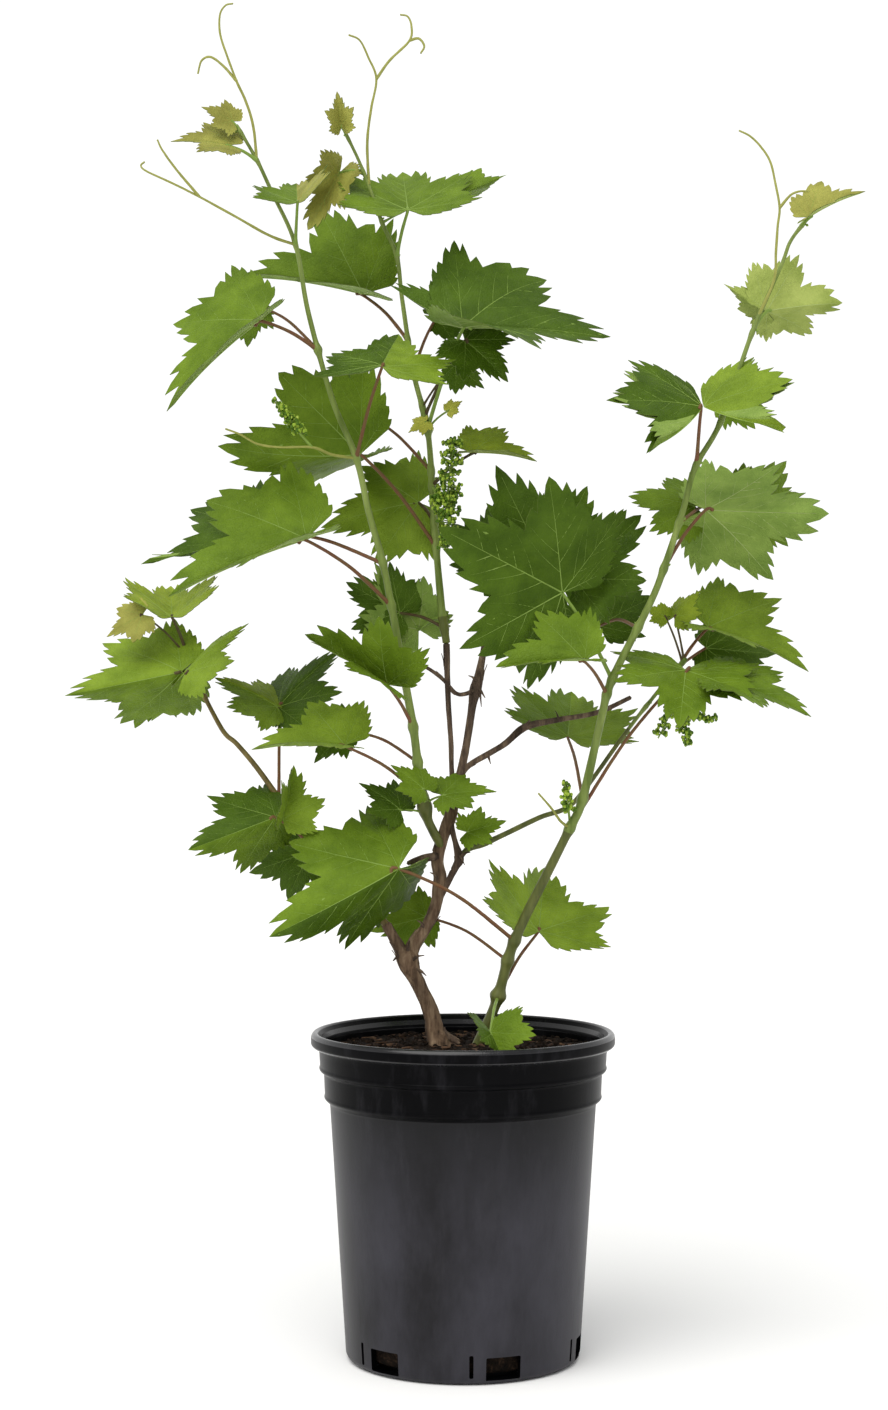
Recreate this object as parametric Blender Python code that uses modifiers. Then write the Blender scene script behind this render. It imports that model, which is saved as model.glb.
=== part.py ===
"""A young grapevine in a ribbed nursery pot: woody trunk, old arms, green canes and leaves.

Lengths are in millimetres, scaled to metres where a mesh is made. The pot stands on z = 0 with
its axis on the z axis. Places on the plant are given as seen from the front: x and z on the
upright plane through the pot's axis, and a depth behind that plane.
"""

import math
import random
from collections import namedtuple

import bmesh
import bpy
from mathutils import Vector
from mathutils.geometry import delaunay_2d_cdt

MM = 0.001
CLEAR = 0.3
END_GAP = 0.25
WELD = 0.001

# Where the plant is looked at from
EYE = Vector((-10, -1400, 353))

# Pot
POT_HEIGHT = 176
RIM_RADIUS = 82.5
LIP_HEIGHT = 8
LIP_EASE = 1.6
LIP_TUCK = 1.2
BAND_1_RADIUS = 77.6
BAND_1_FOOT = 155.5
BAND_2_RADIUS = 75
BAND_2_FOOT = 140
BODY_TOP_RADIUS = 72.2
FOOT_RADIUS = 63
FOOT_CHAMFER = 1.5
WALL = 2
FLOOR = 4
POT_STEPS = 32
NOTCHES = 6
NOTCH_WIDTH = 19
NOTCH_LOW = 2
NOTCH_TOP = 14
NOTCH_FIRST = -71
NOTCH_REACH = 14
NOTCH_OVERHANG = 2
STEP = 0.6

# Soil
SOIL_TOP = 169
SOIL_CROWN_RADIUS = 34
SOIL_FALL = 3
SOIL_GAP = CLEAR + 0.4
SOIL_EASE = 3

# Leaves
LEAF_THICKNESS = 0.013
YOUNG_SIZE = 30
PETIOLE_RADIUS = 1.1
PETIOLE_SINK = 0.06
DROOP = 0.16
OUTLINE_PLAY = 0.05
PETIOLE_ARCH = 0.06
YOUNG_PETIOLE = 0.7
NODE_SWELLING = 1.25
RING_SPACING = 5

# Half the outline of a blade, from the tip round to the stalk: degrees off the midrib, share of its length
HALF_OUTLINE = (
    (14, 0.81), (30, 0.57), (40, 0.75), (50, 0.88), (64, 0.66),
    (79, 0.54), (100, 0.71), (124, 0.54), (152, 0.42),
)
YOUNG_HALF_OUTLINE = ((27, 0.62), (50, 0.84), (78, 0.55), (104, 0.68), (145, 0.38))
SIDE_VEINS = (50, 100)
YOUNG_SIDE_VEINS = (50, 104)
VEIN_HUB = 0.12

Leaf = namedtuple(
    "Leaf", "foot place heading lean size left right twist droop under plain",
    defaults=(0, DROOP, False, False)
)
Cane = namedtuple("Cane", "route thick thin")
Stretch = namedtuple("Stretch", "node cane start end")

rng = random.Random(7)


def clear_scene():
    for item in list(bpy.data.objects):
        bpy.data.objects.remove(item, do_unlink=True)


def collection(name):
    made = bpy.data.collections.new(name)
    bpy.context.scene.collection.children.link(made)
    return made


def finish(name, colour, roughness):
    """A plain material with the part's colour and shine."""
    made = bpy.data.materials.new(name)
    made.use_nodes = True
    shader = made.node_tree.nodes["Principled BSDF"]
    shader.inputs["Base Color"].default_value = (*colour, 1)
    shader.inputs["Roughness"].default_value = roughness
    shader.inputs["Metallic"].default_value = 0
    return made


def seen(x, z, depth=0):
    """The place seen at x, z on the upright plane through the pot's axis, depth behind it."""
    spread = (depth - EYE.y) / -EYE.y
    return Vector((EYE.x + (x - EYE.x) * spread, depth, EYE.z + (z - EYE.z) * spread))


def smooth(points, spans):
    """A Catmull-Rom curve through the points, spans steps between each two."""
    ends = [2 * points[0] - points[1], *points, 2 * points[-1] - points[-2]]
    route = []
    for before, start, end, after in zip(ends, ends[1:], ends[2:], ends[3:]):
        for step in range(spans):
            t = step / spans
            route.append(
                0.5 * (2 * start + (end - before) * t
                       + (2 * before - 5 * start + 4 * end - after) * t ** 2
                       + (3 * start - before - 3 * end + after) * t ** 3)
            )
    return route + [points[-1]]


def add_mesh(name, bm, where):
    mesh = bpy.data.meshes.new(name)
    bm.to_mesh(mesh)
    bm.free()
    made = bpy.data.objects.new(name, mesh)
    where.objects.link(made)
    return made


def applied(item, where):
    """The item with its modifiers applied, or a curve as a mesh with welded caps."""
    bpy.context.view_layer.update()
    depsgraph = bpy.context.evaluated_depsgraph_get()
    mesh = bpy.data.meshes.new_from_object(item.evaluated_get(depsgraph))
    name = item.name
    matrix = item.matrix_world.copy()
    bpy.data.objects.remove(item, do_unlink=True)
    bm = bmesh.new()
    bm.from_mesh(mesh)
    bmesh.ops.remove_doubles(bm, verts=bm.verts, dist=WELD * MM)
    bm.to_mesh(mesh)
    bm.free()
    mesh.name = name
    made = bpy.data.objects.new(name, mesh)
    made.matrix_world = matrix
    where.objects.link(made)
    return made


def limb(name, route, radii, where, level=1):
    """A tapering round limb along the route, closed at both ends."""
    curve = bpy.data.curves.new(name, "CURVE")
    curve.dimensions = "3D"
    curve.twist_mode = "MINIMUM"
    curve.bevel_depth = MM
    curve.bevel_resolution = level
    curve.use_fill_caps = True
    spline = curve.splines.new("POLY")
    spline.points.add(len(route) - 1)
    for point, place, radius in zip(spline.points, route, radii):
        point.co = (*(place * MM), 1)
        point.radius = radius
    made = bpy.data.objects.new(name, curve)
    where.objects.link(made)
    return applied(made, where)


def taper(route, thick, thin):
    """Radii that fall evenly with the length from thick to thin."""
    lengths = [0.0]
    for start, end in zip(route, route[1:]):
        lengths.append(lengths[-1] + (end - start).length)
    return [thick + (thin - thick) * length / lengths[-1] for length in lengths]


def is_closed(item):
    """Whether each edge of the item, as evaluated, is shared by two faces."""
    bpy.context.view_layer.update()
    bm = bmesh.new()
    bm.from_object(item, bpy.context.evaluated_depsgraph_get())
    closed = all(edge.is_manifold for edge in bm.edges)
    bm.free()
    return closed


def union(item, others, where):
    """Fuse a collection of closed shapes onto the item, drop loose scraps and remove the collection."""
    join = item.modifiers.new("fuse", "BOOLEAN")
    join.operation = "UNION"
    join.solver = "EXACT"
    join.operand_type = "COLLECTION"
    join.collection = others
    if not is_closed(item):
        join.solver = "MANIFOLD"
    made = applied(item, where)
    for other in list(others.objects):
        bpy.data.objects.remove(other, do_unlink=True)
    bpy.data.collections.remove(others)
    keep_largest(made)
    return made


def cut_clear(item, limbs, where):
    """The item cut back so that it starts a little clear of the woody limbs that it grows from."""
    for points in limbs:
        route = [seen(x, z, depth) for x, z, depth, _ in points]
        route[0] += (route[0] - route[1]).normalized() * CLEAR
        route[-1] += (route[-1] - route[-2]).normalized() * CLEAR
        grown = limb(item.name + "_cut", route, [radius + CLEAR for *_, radius in points], where)
        cut = item.modifiers.new("clear", "BOOLEAN")
        cut.operation = "DIFFERENCE"
        cut.object = grown
        item = applied(item, where)
        bpy.data.objects.remove(grown, do_unlink=True)
        keep_largest(item)
    return item


def cut_flat(item):
    """Cut the item off level, just clear of the soil."""
    bm = bmesh.new()
    bm.from_mesh(item.data)
    geometry = bm.verts[:] + bm.edges[:] + bm.faces[:]
    level = Vector((0, 0, (SOIL_TOP + CLEAR) * MM))
    cut = bmesh.ops.bisect_plane(bm, geom=geometry, plane_co=level, plane_no=(0, 0, 1), clear_inner=True)
    rim = [edge for edge in cut["geom_cut"] if isinstance(edge, bmesh.types.BMEdge)]
    bmesh.ops.holes_fill(bm, edges=rim, sides=0)
    bmesh.ops.recalc_face_normals(bm, faces=bm.faces)
    bm.to_mesh(item.data)
    bm.free()


def keep_largest(item):
    bm = bmesh.new()
    bm.from_mesh(item.data)
    left = set(bm.verts)
    groups = []
    while left:
        reached = [left.pop()]
        group = set(reached)
        while reached:
            vert = reached.pop()
            for edge in vert.link_edges:
                other = edge.other_vert(vert)
                if other in left:
                    left.discard(other)
                    group.add(other)
                    reached.append(other)
        groups.append(group)
    groups.sort(key=len)
    for group in groups[:-1]:
        bmesh.ops.delete(bm, geom=list(group), context="VERTS")
    bm.to_mesh(item.data)
    bm.free()


def turned(name, profile, steps, where):
    """A closed shape turned about the z axis from a profile that runs down its outer side."""
    bm = bmesh.new()
    verts = [bm.verts.new((radius * MM, 0, height * MM)) for radius, height in profile]
    for start, end in zip(verts, verts[1:]):
        bm.edges.new((start, end))
    made = add_mesh(name, bm, where)
    screw = made.modifiers.new("turn", "SCREW")
    screw.steps = steps
    screw.render_steps = steps
    screw.use_merge_vertices = True
    screw.merge_threshold = 0.00001
    return made


def pot(where, tools):
    """The pot: a thin shell with a rolled rim, two stepped bands and drainage notches round its foot."""
    lip_foot = POT_HEIGHT - LIP_HEIGHT
    outside = [
        (RIM_RADIUS - WALL - LIP_TUCK, POT_HEIGHT),
        (RIM_RADIUS - LIP_EASE, POT_HEIGHT),
        (RIM_RADIUS, POT_HEIGHT - LIP_EASE),
        (RIM_RADIUS, lip_foot + LIP_EASE),
        (RIM_RADIUS - LIP_TUCK, lip_foot),
        (BAND_1_RADIUS + STEP, lip_foot),
        (BAND_1_RADIUS, BAND_1_FOOT + 1),
        (BAND_2_RADIUS + STEP, BAND_1_FOOT),
        (BAND_2_RADIUS, BAND_2_FOOT + 1),
        (BODY_TOP_RADIUS, BAND_2_FOOT),
        (FOOT_RADIUS + FOOT_CHAMFER * 0.3, FOOT_CHAMFER * 1.5),
        (FOOT_RADIUS - FOOT_CHAMFER, 0),
        (0, 0),
    ]
    inside = [
        (0, FLOOR),
        (FOOT_RADIUS - WALL - 1, FLOOR),
        (FOOT_RADIUS - WALL + 0.4, FLOOR + 1),
        (BODY_TOP_RADIUS - WALL, BAND_2_FOOT + STEP),
        (BAND_2_RADIUS - WALL, BAND_2_FOOT + STEP + 1),
        (BAND_2_RADIUS - WALL + STEP, BAND_1_FOOT + STEP),
        (BAND_1_RADIUS - WALL, BAND_1_FOOT + STEP + 1),
        (BAND_1_RADIUS - WALL + STEP, lip_foot + LIP_EASE),
        (RIM_RADIUS - WALL - LIP_TUCK, POT_HEIGHT),
    ]
    made = turned("pot", outside + inside, POT_STEPS, where)
    for number in range(NOTCHES):
        turn = NOTCH_FIRST + number * 360 / NOTCHES
        cut_notch(made, turn, NOTCH_WIDTH, tools)
    return made


def cut_notch(shell, turn, width, tools):
    """Cut an upright rectangular notch through the foot of the wall."""
    bm = bmesh.new()
    bmesh.ops.create_cube(bm, size=1)
    cutter = add_mesh("notch", bm, tools)
    angle = math.radians(turn)
    middle = FOOT_RADIUS + NOTCH_OVERHANG - NOTCH_REACH / 2
    height = NOTCH_TOP - NOTCH_LOW
    cutter.scale = (NOTCH_REACH * MM, width * MM, height * MM)
    cutter.rotation_euler = (0, 0, angle)
    cutter.location = (
        middle * math.cos(angle) * MM,
        middle * math.sin(angle) * MM,
        (NOTCH_LOW + height / 2) * MM,
    )
    cutter.hide_render = True
    cutter.display_type = "WIRE"
    cut = shell.modifiers.new("notch", "BOOLEAN")
    cut.operation = "DIFFERENCE"
    cut.object = cutter


def soil(where):
    """The soil: it fills the pot to just under the rim, level in the middle and lower at the wall."""
    gap = WALL + SOIL_GAP
    bottom = FLOOR + CLEAR
    profile = [
        (0, SOIL_TOP),
        (SOIL_CROWN_RADIUS, SOIL_TOP),
        (BAND_1_RADIUS - gap - SOIL_EASE, SOIL_TOP - SOIL_FALL),
        (BAND_1_RADIUS - gap, SOIL_TOP - SOIL_FALL - SOIL_EASE),
        (BAND_1_RADIUS - gap - 0.3, BAND_1_FOOT + 2.4),
        (BAND_2_RADIUS - gap, BAND_1_FOOT),
        (BAND_2_RADIUS - gap - 0.4, BAND_2_FOOT + 2.4),
        (BODY_TOP_RADIUS - gap - 0.2, BAND_2_FOOT),
        (FOOT_RADIUS - gap - 1.2, bottom + 2),
        (FOOT_RADIUS - gap - SOIL_EASE, bottom),
        (0, bottom),
    ]
    return turned("soil", profile, POT_STEPS, where)


# Woody limbs: places seen on the front plane with their depth, and the limb's radius there
TRUNK = (
    (-12, 164, 0, 9.0), (-12.5, 170, 0, 7.6), (-15, 176, 0, 5.0), (-18, 188, 0, 4.2),
    (-24, 201, 0, 4.2), (-28, 209, 0, 5.0), (-31, 216, 0, 5.8), (-31.5, 220, 0, 4.6),
)
TRUNK_ROOT = ((-12, 174, -1, 2.4), (-6, 171.6, -3, 1.9), (-2, 169, -6, 0.8))
STUB = ((-31, 215, 0, 4.2), (-35, 222, -1, 3.4), (-39, 229, -2, 2.6), (-42, 234, -3, 2.3))
OLD_ARM = (
    (-30, 215, 0, 4.4), (-26, 224, 1, 3.6), (-21, 231, 2, 3.2), (-15, 243, 3, 3.2),
    (-12.5, 257, 3, 3.4), (-14, 269, 3, 3.4), (-11, 281, 2, 3.0), (-7, 293, 1, 3.4), (-4.5, 308, 0, 3.0),
)
OLD_STRAND = (
    (-13, 247, 3, 1.6), (-8.5, 256, 1, 1.7), (-4, 265, 0, 1.9), (-2, 269.5, 0, 2.6),
    (-4, 278, 0, 1.6), (-6, 286, 0, 1.5), (-7, 294, 0, 1.5),
)
OLD_STEM_LEFT = (
    (-5, 306, 1, 1.6), (-6.2, 318, 4, 1.4), (-6.5, 332, 6, 1.4), (-8, 355, 6, 1.5), (-9, 386, 4, 1.8),
)
OLD_STEM_RIGHT = (
    (-4, 306, 0, 2.4), (-1, 318, 1, 2.2), (2, 332, 3, 2.2), (5, 352, 5, 2.3),
    (7, 362, 6, 3.1), (10, 376, 8, 2.0), (13, 394, 10, 1.7), (14, 404, 11, 1.5),
)
OLD_SPUR = ((-14, 271, 1, 2.2), (-21, 270, -3, 2.0), (-26, 268.5, -5, 1.7), (-30, 267, -6, 1.2))
DRY_TWIG = (
    (6, 361, 4, 1.2), (1, 359, 1, 1.1), (-4, 359.5, -2, 1.1), (-11, 367, -3, 1.1),
    (-21, 374, -3, 1.0), (-31, 377, -2, 0.9), (-40, 382, -1, 0.8),
)
DRY_LATERAL = (
    (-3, 312, 0, 1.7), (3, 320, 2, 1.6), (13, 326, 5, 1.6), (23, 332, 7, 1.7),
    (34, 341, 9, 2.1), (52, 345, 11, 1.5), (73, 349, 12, 1.4), (91, 357, 13, 1.2),
)

# Green canes: places seen on the front plane with their depth, then the radius at foot and tip
CANES = {
    "left": Cane((
        (-12, 277, 1.5), (-16.5, 285, -3.5), (-20, 294, -7), (-24, 318, -12), (-27, 341, -14), (-34, 380, -16),
        (-43, 428, -18), (-51, 457, -19), (-58, 487, -20), (-71, 519, -19), (-84, 566, -15),
        (-91, 603, -10), (-104, 632, -7), (-112, 649, -6), (-123, 668, -4),
    ), 2.5, 0.9),
    "middle": Cane((
        (-9, 387, 4), (-12, 410, 6), (-16, 457, 10), (-19, 501, 14), (-27, 534, 16),
        (-33, 573, 16), (-36, 597, 14), (-44, 615, 12), (-55, 645, 8), (-65, 666, 5),
    ), 2.1, 0.8),
    "low_left": Cane((
        (-42, 234, -3), (-64, 258, 2), (-78, 272, 6), (-91, 288, 11), (-100, 302, 15),
        (-112, 319, 19), (-123, 332, 22), (-131, 340, 24), (-145, 367, 28), (-150, 381, 30),
    ), 2.1, 1.0),
    "right": Cane((
        (6, 164, 0), (16, 186, -1), (20, 198, -2), (28, 225, -5), (44, 258, -10), (58, 286, -15),
        (65, 302, -17), (75, 345, -21), (81, 367, -22), (101, 407, -25), (109, 427, -26),
        (119, 457, -26), (126, 482, -25), (140, 507, -23), (157, 555, -19), (173, 592, -15),
        (178, 605, -14), (187, 617, -12),
    ), 3.0, 0.9),
    "side": Cane((
        (-2, 269.5, 2), (3, 275, 4), (12, 278, 7), (23, 283, 12), (42, 292, 20), (56, 297, 24),
        (66, 307, 25), (87, 336, 20), (100, 353, 16), (121, 378, 12),
    ), 1.5, 0.9),
}

# Where each cane is divided: the node, its cane, and the heights seen between which it lies
STRETCHES = (
    Stretch("cane_left", "left", 277, 291),
    Stretch("leaves_left_low", "left", 291, 385),
    Stretch("leaves_left_mid", "left", 385, 470),
    Stretch("leaves_left_high", "left", 470, 534),
    Stretch("leaves_left_upper", "left", 534, 592),
    Stretch("leaves_left_tip", "left", 592, 668),
    Stretch("leaves_middle_low", "middle", 387, 430),
    Stretch("leaves_middle", "middle", 430, 492),
    Stretch("leaves_middle_high", "middle", 492, 560),
    Stretch("leaves_middle_tip", "middle", 560, 666),
    Stretch("cane_low_left", "low_left", 234, 266),
    Stretch("leaves_low_left", "low_left", 266, 297),
    Stretch("leaves_low_left_mid", "low_left", 297, 335),
    Stretch("leaves_low_left_tip", "low_left", 335, 381),
    Stretch("cane_right_foot", "right", 164, 188),
    Stretch("leaves_right_foot", "right", 188, 232),
    Stretch("cane_right", "right", 232, 279),
    Stretch("leaves_right_low", "right", 279, 352),
    Stretch("leaves_right_mid", "right", 352, 415),
    Stretch("leaves_right_high", "right", 415, 472),
    Stretch("leaves_right_upper", "right", 472, 545),
    Stretch("leaves_right_tip", "right", 545, 617),
    Stretch("leaves_inner", "side", 269.5, 284),
    Stretch("cane_side", "side", 284, 330),
    Stretch("leaves_side", "side", 330, 378),
)

# Woody limbs that a length of cane grows from
GROWS_FROM = {
    "cane_left": (OLD_ARM,),
    "leaves_middle_low": (OLD_STEM_LEFT,),
    "cane_low_left": (STUB,),
    "leaves_inner": (OLD_STRAND,),
}

# Leaves: height of the foot on the cane, place of the blade's junction, heading of the midrib in the
# front view, lean of its tip towards the viewer, length, and the turn of the left and right half
# blades out of the front plane towards the viewer, which grows by twist to the tip; under shows
# the pale side, and plain is a simpler outline for a leaf at the back
LEAVES = {
    "leaves_left_low": (
        Leaf(303, (-64, 331, -32), 180, -15, 50, 82, 42),
        Leaf(341, (-41, 364, -30), 146, 10, 52, 82, 54),
        Leaf(297, (-21, 307, -22), 138, 0, 22, 50, 45),
        Leaf(299, (-11, 304, -14), 12, 0, 28, 62, 62),
        Leaf(294, (-34, 296, -14), 140, 0, 26, 50, 45),
        Leaf(322, (-62, 339, 30), 185, -20, 32, 50, 50, plain=True),
    ),
    "leaves_left_mid": (
        Leaf(407, (-85, 443, -36), 190, 10, 86, 86, 52, twist=12),
        Leaf(430, (-96, 450, 28), 180, -20, 52, 62, 48, plain=True),
    ),
    "leaves_left_high": (
        Leaf(487, (-44, 535, -54), 84, -60, 58, -4, 4, droop=0),
    ),
    "leaves_left_upper": (
        Leaf(546, (-110, 562, -26), 221, 5, 68, 84, 60),
        Leaf(546, (-116, 566, 32), 215, -10, 36, 40, 40, plain=True),
    ),
    "leaves_left_tip": (
        Leaf(603, (-91, 624, -20), 92, -62, 36, 8, 36, droop=0),
        Leaf(649, (-127, 657, -10), 167, 0, 30, 80, 62),
        Leaf(664, (-125, 670, -5), 148, 5, 18, 50, 40),
    ),
    "leaves_middle_low": (
        Leaf(395, (-34, 403, 20), 150, 0, 34, 35, 30),
        Leaf(401, (-24, 394, 24), 122, 0, 42, 25, 42, under=True),
    ),
    "leaves_middle": (
        Leaf(439, (-56, 489, 4), 184, 0, 76, -80, 8, twist=34),
        Leaf(452, (-24, 463, 26), 188, 0, 50, 46, 46),
        Leaf(472, (5, 490, -4), 6, 0, 38, 52, 80),
        Leaf(446, (18, 428, 56), 88, -20, 42, 25, 25, plain=True),
        Leaf(480, (-54, 512, 40), 165, -15, 36, 35, 35, plain=True),
    ),
    "leaves_middle_high": (
        Leaf(503, (0, 558, -16), 357, 10, 80, 36, -70, twist=32),
        Leaf(515, (-4, 538, -6), 320, 0, 20, 20, 20),
        Leaf(551, (-54, 576, 42), 167, 0, 66, 76, 14),
        Leaf(534, (14, 562, 46), 10, -20, 48, 60, 60, plain=True),
    ),
    "leaves_middle_tip": (
        Leaf(597, (-30, 622, 2), 97, -66, 56, 16, 4, droop=0),
        Leaf(642, (-67, 642, 25), 240, 10, 34, 68, 58),
        Leaf(661, (-66, 667, 4), 97, 0, 19, 60, 58),
        Leaf(615, (-12, 622, 34), 60, -10, 24, 40, 40),
    ),
    "leaves_low_left": (
        Leaf(272, (-102, 292, -6), 200, 5, 54, 52, 46),
        Leaf(268, (-74, 276, 18), 168, 0, 24, 55, 55),
        Leaf(276, (-100, 293, -8), 62, 0, 29, 55, 55),
        Leaf(282, (-82, 274, 40), 200, -15, 38, 40, 45, plain=True),
    ),
    "leaves_low_left_mid": (
        Leaf(302, (-100, 352, 26), 88, -66, 58, 26, 34, droop=0),
    ),
    "leaves_low_left_tip": (
        Leaf(371, (-153, 371, 14), 196, 5, 65, 58, 55),
        Leaf(374, (-150, 372, 24), 42, 0, 43, 62, 60),
        Leaf(380, (-158, 401, 22), 95, -58, 38, 25, 30, droop=0),
        Leaf(379, (-174, 402, 28), 195, 0, 20, 40, 40),
        Leaf(358, (-160, 368, 62), 195, -15, 42, 45, 55, plain=True),
    ),
    "leaves_right_foot": (
        Leaf(194, (15, 186, -48), 297, 48, 34, 16, 80),
        Leaf(196, (41, 230, 12), 84, -52, 56, 35, -5, droop=0),
        Leaf(225, (-35, 264, -40), 207, 5, 85, 65, 58),
        Leaf(214, (-20, 238, 42), 195, -10, 32, 40, 40, plain=True),
    ),
    "leaves_right_low": (
        Leaf(302, (57, 336, 54), 85, -62, 54, 22, 4, droop=0),
        Leaf(286, (121, 365, -12), 262, 72, 52, 5, 8),
    ),
    "leaves_right_mid": (
        Leaf(367, (54, 414, -22), 152, 32, 78, 14, 12),
        Leaf(378, (61, 421, 6), 45, 0, 50, 34, 40),
        Leaf(359, (67, 377, -46), 172, 5, 54, 86, 20),
        Leaf(395, (74, 396, 40), 75, -20, 42, 30, 30, plain=True),
    ),
    "leaves_right_high": (
        Leaf(427, (132, 459, -8), 0, 5, 67, -50, -44, under=True),
        Leaf(452, (148, 462, 50), 0, -25, 46, 45, 45, plain=True),
    ),
    "leaves_right_upper": (
        Leaf(484, (130, 515, -36), 264, 71, 66, 28, 32, droop=0.02),
        Leaf(507, (141, 519, 26), 0, -20, 30, 40, 40, plain=True),
    ),
    "leaves_right_tip": (
        Leaf(555, (165, 567, -26), 8, 0, 40, 25, 58, under=True),
        Leaf(613, (188, 618, -12), 31, 0, 36, 62, 84, plain=True),
    ),
    "leaves_inner": (
        Leaf(277, (2, 284, -3), 16, 0, 22, 45, 50),
    ),
    "leaves_side": (
        Leaf(372, (133, 392, 20), 346, 5, 56, 62, 60),
        Leaf(366, (141, 365, 30), 350, 5, 50, 60, 72),
        Leaf(377, (115, 401, 14), 50, 0, 20, 45, 45),
        Leaf(376, (110, 401, 16), 150, 0, 12, 35, 35),
        Leaf(352, (132, 384, 60), 355, -20, 42, 50, 50, plain=True),
    ),
}

# Tendrils: places along each, from its foot to its curled tip
TENDRILS = {
    "leaves_left_tip": (
        ((-112, 649, -6), (-114, 668, -8), (-118, 681, -10), (-123, 692, -12), (-129, 708, -14),
         (-132, 718, -15), (-132, 728, -16), (-129, 733, -17), (-125, 734, -18)),
        ((-123, 692, -12), (-130, 700, -10), (-137, 705, -9), (-142, 703, -9), (-144, 696, -10)),
        ((-91, 603, -10), (-105, 608, -12), (-123, 618, -14), (-143, 629, -16), (-159, 637, -16),
         (-172, 643, -15), (-175, 646, -14), (-173, 648, -13)),
        ((-143, 629, -16), (-155, 643, -20), (-163, 654, -22), (-166, 660, -22)),
    ),
    "leaves_middle_tip": (
        ((-51, 636, 9), (-52, 658, 8), (-50, 676, 6), (-47, 693, 5), (-51, 704, 3),
         (-56, 714, 0), (-62, 717, -2)),
        ((-47, 693, 5), (-40, 703, 6), (-29, 714, 8), (-28, 722, 9), (-30, 727, 10), (-34, 728, 11)),
        ((-29, 714, 8), (-24, 715, 6), (-21, 711, 5), (-23, 707, 4)),
    ),
    "leaves_right_tip": (
        ((160, 563, -18), (169, 584, -21), (170, 598, -22), (171, 613, -23), (172, 623, -23),
         (170, 635, -22), (167, 648, -20), (162, 656, -18), (156, 662, -16), (150, 665, -14)),
        ((172, 623, -23), (178, 630, -25), (183, 632, -26), (188, 632, -26)),
    ),
    "leaves_left_high": (
        ((-58, 487, -20), (-71, 489, -26), (-82, 493, -30), (-100, 493, -32), (-112, 495, -33),
         (-121, 500, -33), (-129, 503, -32)),
    ),
    "leaves_right_low": (
        ((58, 286, -15), (53, 290, -22), (48, 297, -26), (41, 305, -28)),
    ),
}

# Flower clusters: stalk from the cane, number of buds and how far they stand off the stalk
CLUSTERS = {
    "leaves_middle": ((((-17, 472, 12), (-8, 464, -6), (-8, 480, -12), (-7, 496, -12)), 11, 3.8),),
    "leaves_left_high": ((((-82, 493, -30), (-88, 500, -31), (-96, 511, -32), (-101, 518, -32)), 7, 2.4),),
    "leaves_right_low": ((((58, 290, -15), (57, 299, -24), (56, 307, -26), (55, 312, -26)), 5, 2.4),),
    "leaves_side": ((((113, 366, 15), (118, 352, 6), (124, 342, 0), (130, 336, -4)), 7, 3.4),),
}
BUD_RADIUS = 2.6
BUD_TURN = 2.4
STALK_RADIUS = 0.6
TENDRIL_RADIUS = 0.55


class Blade:
    """A folded leaf blade: it turns flat places on the leaf into places on the plant."""

    def __init__(self, leaf):
        heading = math.radians(leaf.heading)
        lean = math.radians(leaf.lean)
        along = Vector((math.cos(heading), 0, math.sin(heading)))
        towards = Vector((0, -1, 0))
        self.junction = seen(*leaf.place)
        self.midrib = along * math.cos(lean) + towards * math.sin(lean)
        self.side = Vector((-math.sin(heading), 0, math.cos(heading)))
        self.facing = self.midrib.cross(self.side)
        self.leaf = leaf

    def half(self, along, left):
        """Where the left or right half blade points, and its upward normal, at a share of the length."""
        turn = math.radians((self.leaf.left if left else self.leaf.right) + self.leaf.twist * along)
        if left:
            out = self.side * math.cos(turn) + self.facing * math.sin(turn)
            return out, self.midrib.cross(out)
        out = self.facing * math.sin(turn) - self.side * math.cos(turn)
        return out, out.cross(self.midrib)

    def place(self, along, across):
        """Along the midrib and across to its left, as shares of the leaf's length."""
        out, up = self.half(along, across >= 0)
        if across == 0:
            up = (up + self.half(along, False)[1]).normalized()
        sink = self.leaf.droop * (along * along + across * across)
        if self.leaf.under:
            sink = -sink
        offset = (self.midrib * along + out * abs(across) - up * sink) * self.leaf.size
        x, z, depth = self.leaf.place
        return seen(x + offset.x, z + offset.z, depth + offset.y)


def polar(angle, radius):
    return Vector((radius * math.cos(math.radians(angle)), radius * math.sin(math.radians(angle))))


def blade_sheet(leaf):
    """The blade's upper face as an open sheet: a toothed five-lobed outline crossed by its veins."""
    young = leaf.plain or leaf.size < YOUNG_SIZE
    half = YOUNG_HALF_OUTLINE if young else HALF_OUTLINE
    outline = [polar(0, 1)]
    for side in (1, -1):
        points = [
            polar(side * angle, radius * (1 + rng.uniform(-OUTLINE_PLAY, OUTLINE_PLAY)))
            for angle, radius in half
        ]
        outline += points if side == 1 else points[::-1]
        if side == 1:
            outline.append(Vector((0, 0)))
    joint = len(half) + 1
    hub = len(outline)
    points = outline + [polar(0, VEIN_HUB), polar(0, 0.55)]
    edges = [(joint, hub), (hub, hub + 1), (hub + 1, 0)]
    angles = [angle for angle, _ in half]
    for angle in YOUNG_SIDE_VEINS if young else SIDE_VEINS:
        tip = angles.index(angle) + 1
        edges += [(hub, tip), (hub, len(outline) - tip)]
    places, _, faces, *_ = delaunay_2d_cdt(points, edges, [list(range(len(outline)))], 1, 1e-5)
    blade = Blade(leaf)
    bm = bmesh.new()
    verts = [
        bm.verts.new(blade.place(place.x, 0 if abs(place.y) < 1e-6 else place.y) * MM)
        for place in places
    ]
    for face in faces:
        bm.faces.new([verts[number] for number in face])
    bmesh.ops.recalc_face_normals(bm, faces=bm.faces)
    return bm


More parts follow.
